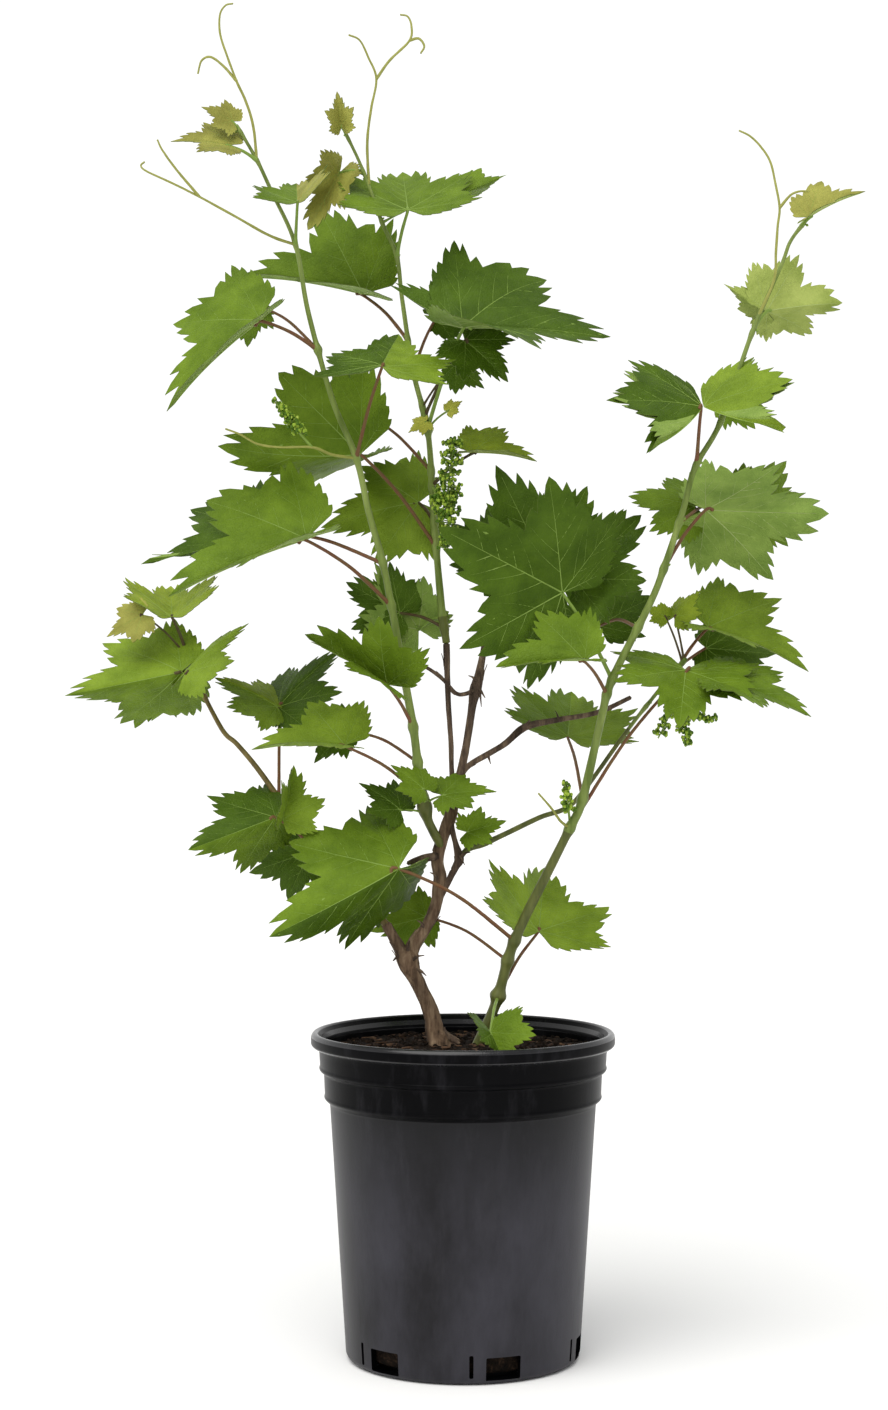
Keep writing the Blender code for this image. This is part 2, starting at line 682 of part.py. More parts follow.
def add_blade(name, leaf, where):
    """The blade as a closed shell."""
    made = add_mesh(name, blade_sheet(leaf), where)
    shell = made.modifiers.new("shell", "SOLIDIFY")
    shell.thickness = max(leaf.size * LEAF_THICKNESS, 0.5) * MM
    shell.offset = 0
    return applied(made, where)


def cane_route(cane):
    """The cane's smooth line in front-view places."""
    return smooth([Vector((x, depth, z)) for x, z, depth in cane.route], 6)


def on_cane(cane, height):
    """The front-view place on the cane at the height seen."""
    route = cane_route(cane)
    for low, high in zip(route, route[1:]):
        if low.z <= height <= high.z:
            return low.lerp(high, (height - low.z) / (high.z - low.z))
    return route[0] if height < route[0].z else route[-1]


def stretch_heights(stretch, feet):
    """Heights where the stretch has a ring: its ends, the cane's own bends and the leaves' feet."""
    inner = [z for _, z, _ in CANES[stretch.cane].route] + feet
    heights = [stretch.start]
    for height in sorted(inner):
        if heights[-1] + RING_SPACING < height < stretch.end - RING_SPACING:
            heights.append(height)
    return heights + [stretch.end]


def add_stretch(stretch, feet, where):
    """The length of cane between two heights, a little short at each end."""
    cane = CANES[stretch.cane]
    heights = stretch_heights(stretch, feet)
    flat = [on_cane(cane, height) for height in heights]
    route = [seen(place.x, place.z, place.y) for place in flat]
    first = (route[1] - route[0]).normalized()
    last = (route[-2] - route[-1]).normalized()
    route[0] = route[0] + first * END_GAP
    route[-1] = route[-1] + last * END_GAP
    low = cane.route[0][1]
    high = cane.route[-1][1]
    radii = [
        cane.thick + (cane.thin - cane.thick) * (height - low) / (high - low)
        for height in heights
    ]
    radii = [
        radius * (NODE_SWELLING if any(abs(height - foot) < 1 for foot in feet) else 1)
        for radius, height in zip(radii, heights)
    ]
    return cut_clear(limb(stretch.node, route, radii, where), GROWS_FROM.get(stretch.node, ()), where)


def petiole_route(stretch, leaf, blade):
    """From inside the cane, out and up to the blade, and a little way along its midrib."""
    flat = on_cane(CANES[stretch.cane], leaf.foot)
    foot = seen(flat.x, flat.z, flat.y)
    sink = blade.place(PETIOLE_SINK, 0)
    reach = (blade.junction - foot).length
    bend = foot.lerp(blade.junction, 0.5) + Vector((0, 0, reach * PETIOLE_ARCH))
    return [foot, bend, blade.junction, sink]


def add_twig(name, route, thick, thin, where):
    return limb(name, route, taper(route, thick, thin), where, level=0)


def add_buds(name, stalk, count, spread, where):
    """A flower cluster: a stalk with buds standing off it by a seeded rule."""
    route = [seen(x, z, depth) for x, z, depth in stalk]
    add_twig(name, route, STALK_RADIUS * 1.3, STALK_RADIUS, where)
    line = smooth(route[1:], 6)
    for number in range(count):
        share = number / max(count - 1, 1)
        place = line[min(int(share * (len(line) - 1)), len(line) - 1)]
        turn = number * BUD_TURN
        off = spread * (1 - 0.5 * share) * rng.uniform(0.5, 0.9)
        place = place + Vector((math.cos(turn), math.sin(turn), rng.uniform(-0.4, 0.4))) * off
        bm = bmesh.new()
        size = BUD_RADIUS * rng.uniform(0.9, 1.2)
        bmesh.ops.create_uvsphere(bm, u_segments=4, v_segments=2, radius=size * MM)
        bmesh.ops.translate(bm, verts=bm.verts, vec=place * MM)
        add_mesh(f"{name}_{number}", bm, where)


def leafy_mass(stretch, where):
    """One mass: its length of cane with the petioles, blades, tendrils and flowers fused on."""
    leaves = LEAVES[stretch.node]
    main = add_stretch(stretch, [leaf.foot for leaf in leaves], where)
    others = collection(stretch.node + "_pieces")
    for number, leaf in enumerate(leaves):
        blade = Blade(leaf)
        name = f"{stretch.node}_{number}"
        route = petiole_route(stretch, leaf, blade)
        thick = PETIOLE_RADIUS * (YOUNG_PETIOLE if leaf.size < YOUNG_SIZE else 1)
        add_twig(name + "_petiole", route, thick, thick * 0.75, others)
        add_blade(name + "_blade", leaf, others)
    for number, tendril in enumerate(TENDRILS.get(stretch.node, ())):
        route = [seen(x, z, depth) for x, z, depth in tendril]
        add_twig(f"{stretch.node}_tendril_{number}", route, TENDRIL_RADIUS * 1.3, TENDRIL_RADIUS * 0.8, others)
    for number, (stalk, count, spread) in enumerate(CLUSTERS.get(stretch.node, ())):
        add_buds(f"{stretch.node}_flowers_{number}", stalk, count, spread, others)
    return union(main, others, where)


def woody(name, points, where):
    """A woody limb through places with their own radii."""
    route = [seen(x, z, depth) for x, z, depth, _ in points]
    return limb(name, route, [radius for *_, radius in points], where)


def main():
    clear_scene()
    parts = collection("potted_grapevine")
    tools = collection("cutters")
    plastic = finish("pot_plastic", (0.045, 0.043, 0.047), 0.42)
    earth = finish("soil_crumb", (0.024, 0.015, 0.010), 0.95)
    bark = finish("bark", (0.145, 0.092, 0.065), 0.85)
    green = finish("green_cane", (0.20, 0.32, 0.07), 0.5)
    foliage = finish("foliage", (0.11, 0.25, 0.03), 0.5)

    pot(parts, tools).data.materials.append(plastic)
    soil(parts).data.materials.append(earth)

    root = collection("trunk_root")
    woody("trunk_side_root", TRUNK_ROOT, root)
    trunk = union(woody("trunk", TRUNK, parts), root, parts)
    cut_flat(trunk)
    trunk.data.materials.append(bark)
    limbs = (
        ("trunk_stub", STUB, (TRUNK,)),
        ("old_arm", OLD_ARM, (TRUNK, STUB)),
        ("old_strand", OLD_STRAND, (OLD_ARM,)),
        ("old_stem_right", OLD_STEM_RIGHT, (OLD_ARM,)),
        ("old_stem_left", OLD_STEM_LEFT, (OLD_ARM, OLD_STEM_RIGHT)),
        ("old_spur", OLD_SPUR, (OLD_ARM,)),
        ("dry_twig", DRY_TWIG, (OLD_STEM_RIGHT, OLD_STEM_LEFT)),
        ("dry_lateral", DRY_LATERAL, (OLD_ARM, OLD_STEM_RIGHT)),
    )
    for name, points, cut_by in limbs:
        cut_clear(woody(name, points, parts), cut_by, parts).data.materials.append(bark)

    for stretch in STRETCHES:
        if stretch.node in LEAVES:
            leafy_mass(stretch, parts).data.materials.append(foliage)
        else:
            cane = add_stretch(stretch, [], parts)
            if stretch.start < SOIL_TOP:
                cut_flat(cane)
            cane.data.materials.append(green)


main()
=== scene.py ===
"""The looks of a young grapevine in a ribbed nursery pot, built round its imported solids.

Lengths are in millimetres, scaled to metres where a piece is made. Places on the plant are given as
seen from the front: x and z on the upright plane through the pot's axis, and a depth behind it.
"""

import math
import random
from collections import namedtuple

import bmesh
import bpy
import numpy as np
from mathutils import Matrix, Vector, noise


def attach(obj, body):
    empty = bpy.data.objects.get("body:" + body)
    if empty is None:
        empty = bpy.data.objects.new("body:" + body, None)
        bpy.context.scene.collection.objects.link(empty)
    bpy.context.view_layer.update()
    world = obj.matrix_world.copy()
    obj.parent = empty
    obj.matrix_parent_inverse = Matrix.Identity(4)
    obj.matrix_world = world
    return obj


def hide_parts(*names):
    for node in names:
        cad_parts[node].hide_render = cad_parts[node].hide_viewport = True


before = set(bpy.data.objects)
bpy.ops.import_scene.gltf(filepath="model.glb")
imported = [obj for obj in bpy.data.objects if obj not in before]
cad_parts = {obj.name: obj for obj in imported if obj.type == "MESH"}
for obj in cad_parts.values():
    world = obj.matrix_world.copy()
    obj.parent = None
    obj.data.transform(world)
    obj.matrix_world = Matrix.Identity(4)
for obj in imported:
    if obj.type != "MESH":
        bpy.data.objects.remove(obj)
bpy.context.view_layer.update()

MM = 0.001
FULL_TURN = 6.28
EYE = np.array((-10.0, -1400.0, 353.0))
CAMERA_X = -10.3
LENS = 65.8
SENSOR = 36
GROUND_RADIUS = 30

# A soft light as from a wide far window: where its rays come from, and how wide it looks
SUN_PLACE = (-0.42, -0.8, 1.4)
SUN_SPREAD = 56
SUN_STRENGTH = 2.5
SUN_COLOUR = (1.0, 0.99, 0.96)

rng = random.Random(11)

# Pot
POT_HEIGHT = 176
RIM_RADIUS = 82.5
RIM_INNER = RIM_RADIUS - 5.2
LIP_FOOT = 168
BAND_1_RADIUS = 77.6
BAND_1_FOOT = 155.5
BAND_2_RADIUS = 75
BAND_2_FOOT = 140
BODY_TOP_RADIUS = 72.2
FOOT_RADIUS = 63
POT_HUB = 0.6
WALL = 2
FLOOR = 4
POT_STEPS = 144
NOTCHES = 6
NOTCH_WIDTH = 19
NOTCH_LOW = 2
NOTCH_TOP = 14
NOTCH_FIRST = -71
NOTCH_CORNER = 0.7
SLIT_TURN = -15.5
SLIT_WIDTH = 2.2
CUT_REACH = 12

# Soil
SOIL_TOP = 169
SOIL_RADIUS = BAND_1_RADIUS - WALL - 0.7
SOIL_HUB = 0.5
SOIL_CROWN_RADIUS = 34
SOIL_FALL = 3
SOIL_BUMP = 1.3
SOIL_GRAIN = 0.16
SOIL_STEPS = 180
SOIL_RINGS = 46
SOIL_BITS = 900

# Leaves
BLADE_THICKNESS = 0.34
PETIOLE_RADIUS = 1.05
PETIOLE_SINK = 0.06
PETIOLE_ARCH = 0.06
PETIOLE_SIDES = 10
YOUNG_SIZE = 30
DROOP = 0.16
FOLD_ROUND = 0.05
BEND_ROUND = 0.7
REAR_REACH = 0.6

# Half of a blade's edge, from its tip round to its stalk: degrees and distance from the foot, at length 1
HALF_OUTLINE = (
    (0, 1.0), (6, 0.94), (12, 0.87), (18, 0.78), (24, 0.67), (29, 0.59), (33, 0.64), (39, 0.74),
    (45, 0.8), (50, 0.84), (56, 0.8), (63, 0.73), (70, 0.66), (77, 0.59), (83, 0.62), (90, 0.67),
    (96, 0.7), (101, 0.71), (108, 0.67), (116, 0.62), (125, 0.57), (134, 0.53), (143, 0.49),
    (152, 0.45), (160, 0.4),
)
TEETH = (0, 7.5, 15, 23, 36, 43, 50, 58, 66, 84, 92, 100, 109, 119, 129, 140, 151)
YOUNG_OUTLINE = (
    (0, 1.0), (7, 0.88), (14, 0.78), (27, 0.63), (38, 0.7), (46, 0.77), (50, 0.8), (56, 0.75),
    (78, 0.56), (92, 0.62), (100, 0.66), (110, 0.6), (155, 0.4),
)
YOUNG_TEETH = (0, 9, 19, 37, 50, 62, 74, 88, 100, 114, 130, 146)
LOBE_TIPS = (0, 50, 100)
TOOTH_BULGE = 0.012

# Veins: heading and length of the main ones, and the stretch of each that side veins leave from
MAIN_VEINS = (
    (0, 0.93), (50, 0.8), (-50, 0.8), (100, 0.64), (-100, 0.64), (143, 0.36), (-143, 0.36),
)
FIRST_SIDE_VEIN = 0.19
LAST_SIDE_VEIN = 0.86
SIDE_VEIN_POINTS = 7
SIDE_VEIN_STEP = 0.06
SIDE_VEIN_BEND = 0.045
MIDRIB_WIDTH = 0.009
LOBE_VEIN_WIDTH = 0.0075
SIDE_VEIN_WIDTH = 0.0036
VEIN_RISE = 0.0018
VEIN_SUNK = 0.0025
PLEAT = 0.012
PLEAT_WIDTH = 0.13
BLISTER = 0.009
BLISTER_WIDTH = 0.035
WAVES = ((0.03, 3), (0.024, 5), (0.014, 8))
LIFT_STEP = 0.01

# Stems, bark, tendrils and flowers
END_DOME = 0.6
CANE_STEP = 1.4
CANE_SIDES = 20
CANE_RIBS = 7
RIB_DEPTH = 0.028
NODE_SWELL = 0.34
NODE_LENGTH = 2.6
PEEL_STEPS = 9
PEEL_THICKNESS = 0.22
SNAG_SIDES = 9
TENDRIL_SIDES = 7
TENDRIL_RADIUS = 0.86
TENDRIL_TAPER = 0.34
FIRST_GROUP = 0.34
GROUP_TURN = 2.4
BUDS = 6
BUD_RADIUS = 0.86

# Waves of the bark: number round the limb, length along it, seed and depth as a share of the radius
BARK_WAVES = ((9, 11, 5, 0.10), (18, 5, 50, 0.055), (4, 7, 90, 0.07))
CRACK_WIDTH = 0.12
CRACK_DEPTH = 0.06

Leaf = namedtuple(
    "Leaf", "foot place heading lean size left right tone stalk twist droop under plain",
    defaults=("mid", "red", 0, DROOP, False, False)
)
Cane = namedtuple("Cane", "route thick thin ripe_to skin", defaults=("cane_olive",))


class Wire:
    """One output of a shader node. Sums and products of wires add Math nodes."""

    def __init__(self, look, socket):
        self.look = look
        self.socket = socket

    def maths(self, operation, first, second):
        return self.look.node("ShaderNodeMath", {"operation": operation}, {0: first, 1: second})

    def __add__(self, other):
        return self.maths("ADD", self, other)

    __radd__ = __add__

    def __sub__(self, other):
        return self.maths("SUBTRACT", self, other)

    def __rsub__(self, other):
        return self.maths("SUBTRACT", other, self)

    def __mul__(self, other):
        return self.maths("MULTIPLY", self, other)

    __rmul__ = __mul__


class Net:
    """The nodes of a material or of the sky."""

    def __init__(self, tree):
        self.tree = tree

    def node(self, kind, settings, values, output=0):
        """Any node: its settings first, then the values or wires of its sockets."""
        made = self.tree.nodes.new(kind)
        stops = settings.pop("stops", ())
        for name, value in settings.items():
            setattr(made, name, value)
        for number, (position, colour) in enumerate(stops):
            ramp = made.color_ramp.elements
            stop = ramp[number] if number < 2 else ramp.new(position)
            stop.position = position
            stop.color = colour
        for name, value in values.items():
            self.feed(made.inputs[name], value)
        return Wire(self, made.outputs[output])

    def feed(self, socket, value):
        if isinstance(value, Wire):
            self.tree.links.new(value.socket, socket)
        else:
            socket.default_value = value

    def between(self, value, low, high):
        """The value as a share of the way from low to high, held from 0 to 1."""
        return self.node("ShaderNodeMapRange", {}, {"Value": value, "From Min": low, "From Max": high})


class Look(Net):
    """A material and the nodes that feed its shader."""

    def __init__(self, name, roughness, specular):
        self.material = bpy.data.materials.new(name)
        self.material.use_nodes = True
        super().__init__(self.material.node_tree)
        self.shader = self.tree.nodes["Principled BSDF"]
        self.shader.inputs["Roughness"].default_value = roughness
        self.shader.inputs["Specular IOR Level"].default_value = specular
        self.place = self.node("ShaderNodeTexCoord", {}, {}, "Object")

    def stretched(self, x, y, z):
        """The object's own coordinates, scaled apart."""
        return self.node("ShaderNodeVectorMath", {"operation": "MULTIPLY"}, {0: self.place, 1: (x, y, z)})

    def cloud(self, scale, detail=3.0, rough=0.5, place=None):
        """Soft noise, a share from 0 to 1."""
        values = {"Vector": place or self.place, "Scale": scale, "Detail": detail, "Roughness": rough}
        return self.node("ShaderNodeTexNoise", {}, values)

    def cells(self, scale, feature="F1"):
        """Distance in a pattern of cells."""
        values = {"Vector": self.place, "Scale": scale}
        return self.node("ShaderNodeTexVoronoi", {"feature": feature}, values)

    def mix(self, share, first, second):
        return self.node("ShaderNodeMix", {"data_type": "RGBA"}, {0: share, 6: first, 7: second}, 2)

    def colour(self, value):
        self.feed(self.shader.inputs["Base Color"], value)
        return self

    def roughness(self, value):
        self.feed(self.shader.inputs["Roughness"], value)
        return self

    def bump(self, height, distance, strength):
        values = {"Height": height, "Distance": distance, "Strength": strength}
        self.feed(self.shader.inputs["Normal"], self.node("ShaderNodeBump", {}, values))
        return self


def shade(code):
    """A linear colour with alpha from a screen colour written as six hexadecimal digits."""
    parts = [int(code[start:start + 2], 16) / 255 for start in (0, 2, 4)]
    return (*[((part + 0.055) / 1.055) ** 2.4 if part > 0.04 else part / 12.92 for part in parts], 1)


def make_looks():
    """All finishes, by plain names. The leaf tones, the pot's bands and the wall under them carry painted
    light and shade.
    """
    looks = {}
    # Leaf greens: deep, mid and lit are one green painted as shade, half shade and light, and
    # and the under tones are the leaves' own colours.
    # fresh is a young leaf's lighter green that also stands in for painted light; bronze, pale
    for name, deep, light, roughness, specular in (
        ("deep", "385008", "4C6614", 0.5, 0.12), ("mid", "526B12", "6B8520", 0.5, 0.12),
        ("lit", "647C1C", "7F982C", 0.5, 0.12), ("fresh", "6F821C", "90A22E", 0.52, 0.12),
        ("bronze", "7C7B35", "A0A04C", 0.55, 0.15), ("pale", "A6A640", "C4C258", 0.6, 0.12),
        ("under", "6C863A", "8AA24E", 0.68, 0.1), ("under_fresh", "849445", "A5B260", 0.68, 0.1),
    ):
        look = Look("leaf_" + name, roughness, specular)
        patches = look.between(look.cloud(55, 4, 0.6), 0.35, 0.68)
        green = look.mix(patches, shade(deep), shade(light))
        net = look.between(look.cells(520, "DISTANCE_TO_EDGE"), 0.0, 0.16)
        look.colour(look.mix(0.14 - 0.14 * net, green, shade(light)))
        look.roughness(look.cloud(140, 2) * 0.22 + (roughness - 0.11))
        looks[name] = look.bump(net * 0.5 + look.cloud(210, 3) * 0.9, 0.0005, 0.6)

    for name, tint, roughness in (
        ("vein", "86A04C", 0.55), ("vein_pale", "A9B878", 0.6), ("edge", "55632A", 0.6),
        ("stalk_red", "704A34", 0.5), ("stalk_green", "7C9642", 0.45), ("stalk_dark", "4A3A26", 0.5),
        ("tendril", "98994F", 0.5),
    ):
        look = Look(name, roughness, 0.2)
        tone = look.mix(look.between(look.cloud(220, 3), 0.35, 0.7), shade(tint), shade("5D6B2C"))
        looks[name] = look.colour(look.mix(0.72, tone, shade(tint))).bump(look.cloud(900, 2), 0.0002, 0.5)

    for name, dark, light in (
        ("cane_green", "5A6C2A", "84944C"), ("cane_olive", "454C20", "656A34"),
        ("cane_brown", "5A4D28", "82733F"),
    ):
        look = Look(name, 0.45, 0.25)
        streaks = look.between(look.cloud(150, 4, 0.6, look.stretched(1, 1, 0.12)), 0.36, 0.66)
        flecks = look.between(look.cells(430), 0.0, 0.25)
        tone = look.mix(streaks, shade(dark), shade(light))
        looks[name] = look.colour(look.mix(0.35 - 0.35 * flecks, tone, shade("6B4A2E")))
        look.bump(look.cloud(260, 3, 0.6, look.stretched(1, 1, 0.15)), 0.0004, 0.6)

    for name, dark, mid, light in (
        ("bark", "33271D", "6B5643", "9C866C"), ("bark_dark", "2C231A", "54453A", "86725C"),
    ):
        look = Look(name, 0.86, 0.2)
        fibre = look.cloud(240, 6, 0.65, look.stretched(1, 1, 0.14))
        stops = ((0.33, shade(dark)), (0.7, shade(light)), (0.5, shade(mid)))
        tone = look.node("ShaderNodeValToRGB", {"stops": stops}, {"Fac": fibre})
        grime = look.between(look.cloud(60, 4), 0.42, 0.66)
        look.colour(look.mix(grime * 0.45, tone, shade(dark)))
        grain = look.cloud(700, 4, 0.7, look.stretched(1, 1, 0.3))
        looks[name] = look.bump(fibre * 1.2 + grain * 0.6, 0.0011, 0.9)

    for name, spot, ground in (("flower", "8FA83A", "4A6A14"), ("bud_light", "C8D26C", "8FAA36")):
        look = Look(name + "_bud", 0.5, 0.2)
        specks = look.between(look.cells(520), 0.1, 0.34)
        look.colour(look.mix(specks, shade(spot), shade(ground)))
        looks[name] = look.bump(look.cloud(1300, 2), 0.0003, 0.6)

    for name, dark, light, roughness, specular in (
        # Painted shade: the bands' finish is the wall's plastic made near-black, for the shade on the bands
        # and the lip's face.
        ("pot_wall", "17161A", "34333A", 0.42, 0.2), ("pot_band", "030304", "08080A", 0.33, 0.05),
        ("pot_lip", "0A0A0C", "161619", 0.24, 0.4),
    ):
        look = Look(name, roughness, specular)
        haze = look.cloud(14, 6, 0.65, look.stretched(1, 1, 0.4))
        scuffs = look.between(look.cloud(80, 6, 0.7, look.stretched(1, 1, 0.25)), 0.52, 0.78)
        tone = look.mix(look.between(haze, 0.38, 0.64), shade(dark), shade(light))
        if name == "pot_wall":
            # Painted shade: the wall darkens to near-black just below the lowest band, where the bands shade
            # it.
            height = look.node("ShaderNodeSeparateXYZ", {}, {0: look.place}, 2)
            painted_shade_below_band = look.between(height + haze * 0.03, 0.1, 0.155)
            tone = look.mix(painted_shade_below_band * 0.85, tone, shade("060607"))
        look.colour(look.mix(scuffs * 0.3, tone, shade("3B3A3F")))
        look.roughness(haze * 0.16 + scuffs * 0.1 + (roughness - 0.1))
        looks[name] = look.bump(look.cloud(900, 3) * 0.5 + scuffs * 0.5, 0.00016, 0.5)

    look = Look("soil", 0.97, 0.12)
    crumb = look.cloud(260, 6, 0.7)
    stops = ((0.36, shade("0B0806")), (0.74, shade("413126")), (0.54, shade("1C140E")))
    look.colour(look.node("ShaderNodeValToRGB", {"stops": stops}, {"Fac": crumb}))
    looks["soil"] = look.bump(crumb, 0.0016, 1.0)

    look = Look("bark_chip", 0.92, 0.15)
    tone = look.mix(look.between(look.cloud(120, 4), 0.35, 0.68), shade("2A1D14"), shade("5E4634"))
    looks["chip"] = look.colour(tone).bump(look.cloud(600, 4, 0.7), 0.0006, 0.8)
    return looks


LOOKS = make_looks()


def seen(places):
    """Front-view places, each x, depth and z, as places in the room."""
    spread = (places[..., 1:2] - EYE[1]) / -EYE[1]
    x = EYE[0] + (places[..., 0:1] - EYE[0]) * spread
    z = EYE[2] + (places[..., 2:3] - EYE[2]) * spread
    return np.concatenate((x, places[..., 1:2], z), -1)


def smooth(points, spans):
    """A Catmull-Rom curve through rows of numbers, spans steps between each two."""
    points = np.asarray(points, float)
    ends = np.vstack((2 * points[0] - points[1], points, 2 * points[-1] - points[-2]))
    rows = []
    for before, start, end, after in zip(ends, ends[1:], ends[2:], ends[3:]):
        for step in range(spans):
            t = step / spans
            rows.append(
                0.5 * (2 * start + (end - before) * t
                       + (2 * before - 5 * start + 4 * end - after) * t ** 2
                       + (3 * start - before - 3 * end + after) * t ** 3)
            )
    return np.vstack((rows, points[-1]))


def curve(points, spans=10):
    """A curve through places given as x, z and depth, in rows of x, depth, z and what else they give."""
    return smooth([(x, depth, z, *rest) for x, z, depth, *rest in points], spans)


def lengths_along(route):
    return np.concatenate(([0], np.cumsum(np.linalg.norm(np.diff(route, axis=0), axis=1))))


def even(rows, step):
    """The same curve with its rows about a step apart along its first three columns."""
    lengths = lengths_along(rows[:, :3])
    count = max(int(lengths[-1] / step), 2) + 1
    marks = np.linspace(0, lengths[-1], count)
    return np.stack([np.interp(marks, lengths, column) for column in rows.T], 1)


def rumple(around, along, columns, seed):
    """Smooth noise from -1 to 1 that closes after a whole number of columns."""
    grid = np.random.default_rng(seed).uniform(-1, 1, (columns, 997))
    left = np.floor(around).astype(int)
    low = np.floor(along).astype(int)
    x = around - left
    y = along - low
    x = x * x * (3 - 2 * x)
    y = y * y * (3 - 2 * y)
    lower = grid[left % columns, low % 997] * (1 - x) + grid[(left + 1) % columns, low % 997] * x
    upper = grid[left % columns, (low + 1) % 997] * (1 - x) + grid[(left + 1) % columns, (low + 1) % 997] * x
    return lower * (1 - y) + upper * y


def linked(name, data):
    """A new object in the scene."""
    made = bpy.data.objects.new(name, data)
    bpy.context.scene.collection.objects.link(made)
    return made


def mesh_of(name, bm):
    """A mesh with the form of a bmesh, which is freed."""
    mesh = bpy.data.meshes.new(name)
    bm.to_mesh(mesh)
    bm.free()
    return mesh


class Form:
    """Points and faces of one piece, gathered from many shapes."""

    def __init__(self):
        self.points = []
        self.faces = []
        self.looks = []
        self.total = 0

    def add(self, points, *groups):
        """Each group is faces and their finish, or one finish a face. Repeated corners are dropped."""
        for faces, look in groups:
            rows = (np.asarray(faces) + self.total).tolist()
            self.faces += [list(dict.fromkeys(row)) for row in rows]
            self.looks += [look] * len(rows) if isinstance(look, str) else list(look)
        self.points.append(np.asarray(points, float))
        self.total += len(points)

    def piece(self, name, slot, nodes, sharp=50):
        """Make the piece: it rides with the plant and stands for the named solids."""
        names = sorted(set(self.looks))
        mesh = bpy.data.meshes.new(name)
        mesh.from_pydata((np.concatenate(self.points) * MM).tolist(), [], self.faces)
        for look in names:
            mesh.materials.append(LOOKS[look].material)
        numbers = {look: number for number, look in enumerate(names)}
        mesh.polygons.foreach_set("material_index", [numbers[look] for look in self.looks])
        mesh.polygons.foreach_set("use_smooth", [True] * len(self.faces))
        mesh.set_sharp_from_angle(angle=math.radians(sharp))
        piece = linked(name, mesh)
        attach(piece, "root")
        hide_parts(*nodes)
        return piece


def frames(route):
    """Along, across and up directions at each point of a route, turning as little as they can."""
    along = np.gradient(route, axis=0)
    along /= np.linalg.norm(along, axis=1)[:, None]
    across = np.zeros_like(route)
    first = np.cross(along[0], (0.1, 1.0, 0.05))
    across[0] = first / np.linalg.norm(first)
    for number in range(1, len(route)):
        turned = across[number - 1] - along[number] * (across[number - 1] @ along[number])
        across[number] = turned / np.linalg.norm(turned)
    return along, across, np.cross(along, across)


def ring_faces(rings, sides):
    """Four-sided faces between rings of points."""
    ring, side = np.meshgrid(np.arange(rings - 1), np.arange(sides), indexing="ij")
    low = (ring * sides + side).ravel()
    low_next = (ring * sides + (side + 1) % sides).ravel()
    return np.stack((low, low_next, low_next + sides, low + sides), 1)


def tube(form, route, radii, sides, look, relief=0.0):
    """A round limb with domed ends. Relief swells each ring's points by a share of the radius."""
    along, across, up = frames(route)
    angles = np.arange(sides) * 2 * math.pi / sides
    swell = np.broadcast_to(radii[:, None] * (1 + relief), (len(route), sides))
    turn = across[:, None] * np.cos(angles)[None, :, None] + up[:, None] * np.sin(angles)[None, :, None]
    rings = route[:, None] + turn * swell[..., None]
    foot = route[0] - along[0] * radii[0] * END_DOME
    tip = route[-1] + along[-1] * radii[-1] * END_DOME
    count = len(route) * sides
    here = np.arange(sides)
    following = (here + 1) % sides
    foot_faces = np.stack((following, here, np.full(sides, count)), 1)
    tip_faces = np.stack((here, following, np.full(sides, sides + 1)), 1) + count - sides
    looks = [look] * len(route) if isinstance(look, str) else look
    form.add(
        np.vstack((rings.reshape(-1, 3), foot, tip)),
        (ring_faces(len(route), sides), np.repeat(looks[:-1], sides)),
        (foot_faces, looks[0]), (tip_faces, looks[-1]),
    )


# Woody limbs: places seen on the front plane with their depth, and the limb's radius there
WOOD = {
    "trunk": (
        (-12, 164, 0, 9.0), (-12.5, 170, 0, 7.6), (-15, 176, 0, 5.0), (-18, 188, 0, 4.2),
        (-24, 201, 0, 4.2), (-28, 209, 0, 5.0), (-31, 216, 0, 5.8), (-31.5, 220, 0, 4.6),
    ),
    "trunk_side_root": ((-12, 174, -1, 2.4), (-6, 171.6, -3, 1.9), (-2, 169, -6, 0.8)),
    "trunk_stub": ((-31, 215, 0, 4.2), (-35, 222, -1, 3.4), (-39, 229, -2, 2.6), (-42, 234, -3, 2.3)),
    "old_arm": (
        (-30, 215, 0, 4.4), (-26, 224, 1, 3.6), (-21, 231, 2, 3.2), (-15, 243, 3, 3.2),
        (-12.5, 257, 3, 3.4), (-14, 269, 3, 3.4), (-11, 281, 2, 3.0), (-7, 293, 1, 3.4),
        (-4.5, 308, 0, 3.0),
    ),
    "old_strand": (
        (-13, 247, 3, 1.6), (-8.5, 256, 1, 1.7), (-4, 265, 0, 1.9), (-2, 269.5, 0, 2.6),
        (-4, 278, 0, 1.6), (-6, 286, 0, 1.5), (-7, 294, 0, 1.5),
    ),
    "old_stem_left": (
        (-5, 306, 1, 1.6), (-6.2, 318, 4, 1.4), (-6.5, 332, 6, 1.4), (-8, 355, 6, 1.5), (-9, 386, 4, 1.8),
    ),
    "old_stem_right": (
        (-4, 306, 0, 2.4), (-1, 318, 1, 2.2), (2, 332, 3, 2.2), (5, 352, 5, 2.3),
        (7, 362, 6, 3.1), (10, 376, 8, 2.0), (13, 394, 10, 1.7), (14, 404, 11, 1.5),
    ),
    "old_spur": ((-14, 271, 1, 2.2), (-21, 270, -3, 2.0), (-26, 268.5, -5, 1.7), (-30, 267, -6, 1.2)),
    "dry_twig": (
        (6, 361, 4, 1.2), (1, 359, 1, 1.1), (-4, 359.5, -2, 1.1), (-11, 367, -3, 1.1),
        (-21, 374, -3, 1.0), (-31, 377, -2, 0.9), (-40, 382, -1, 0.8),
    ),
    "dry_lateral": (
        (-3, 312, 0, 1.7), (3, 320, 2, 1.6), (13, 326, 5, 1.6), (23, 332, 7, 1.7),
        (34, 341, 9, 2.1), (52, 345, 11, 1.5), (73, 349, 12, 1.4), (91, 357, 13, 1.2),
    ),
}

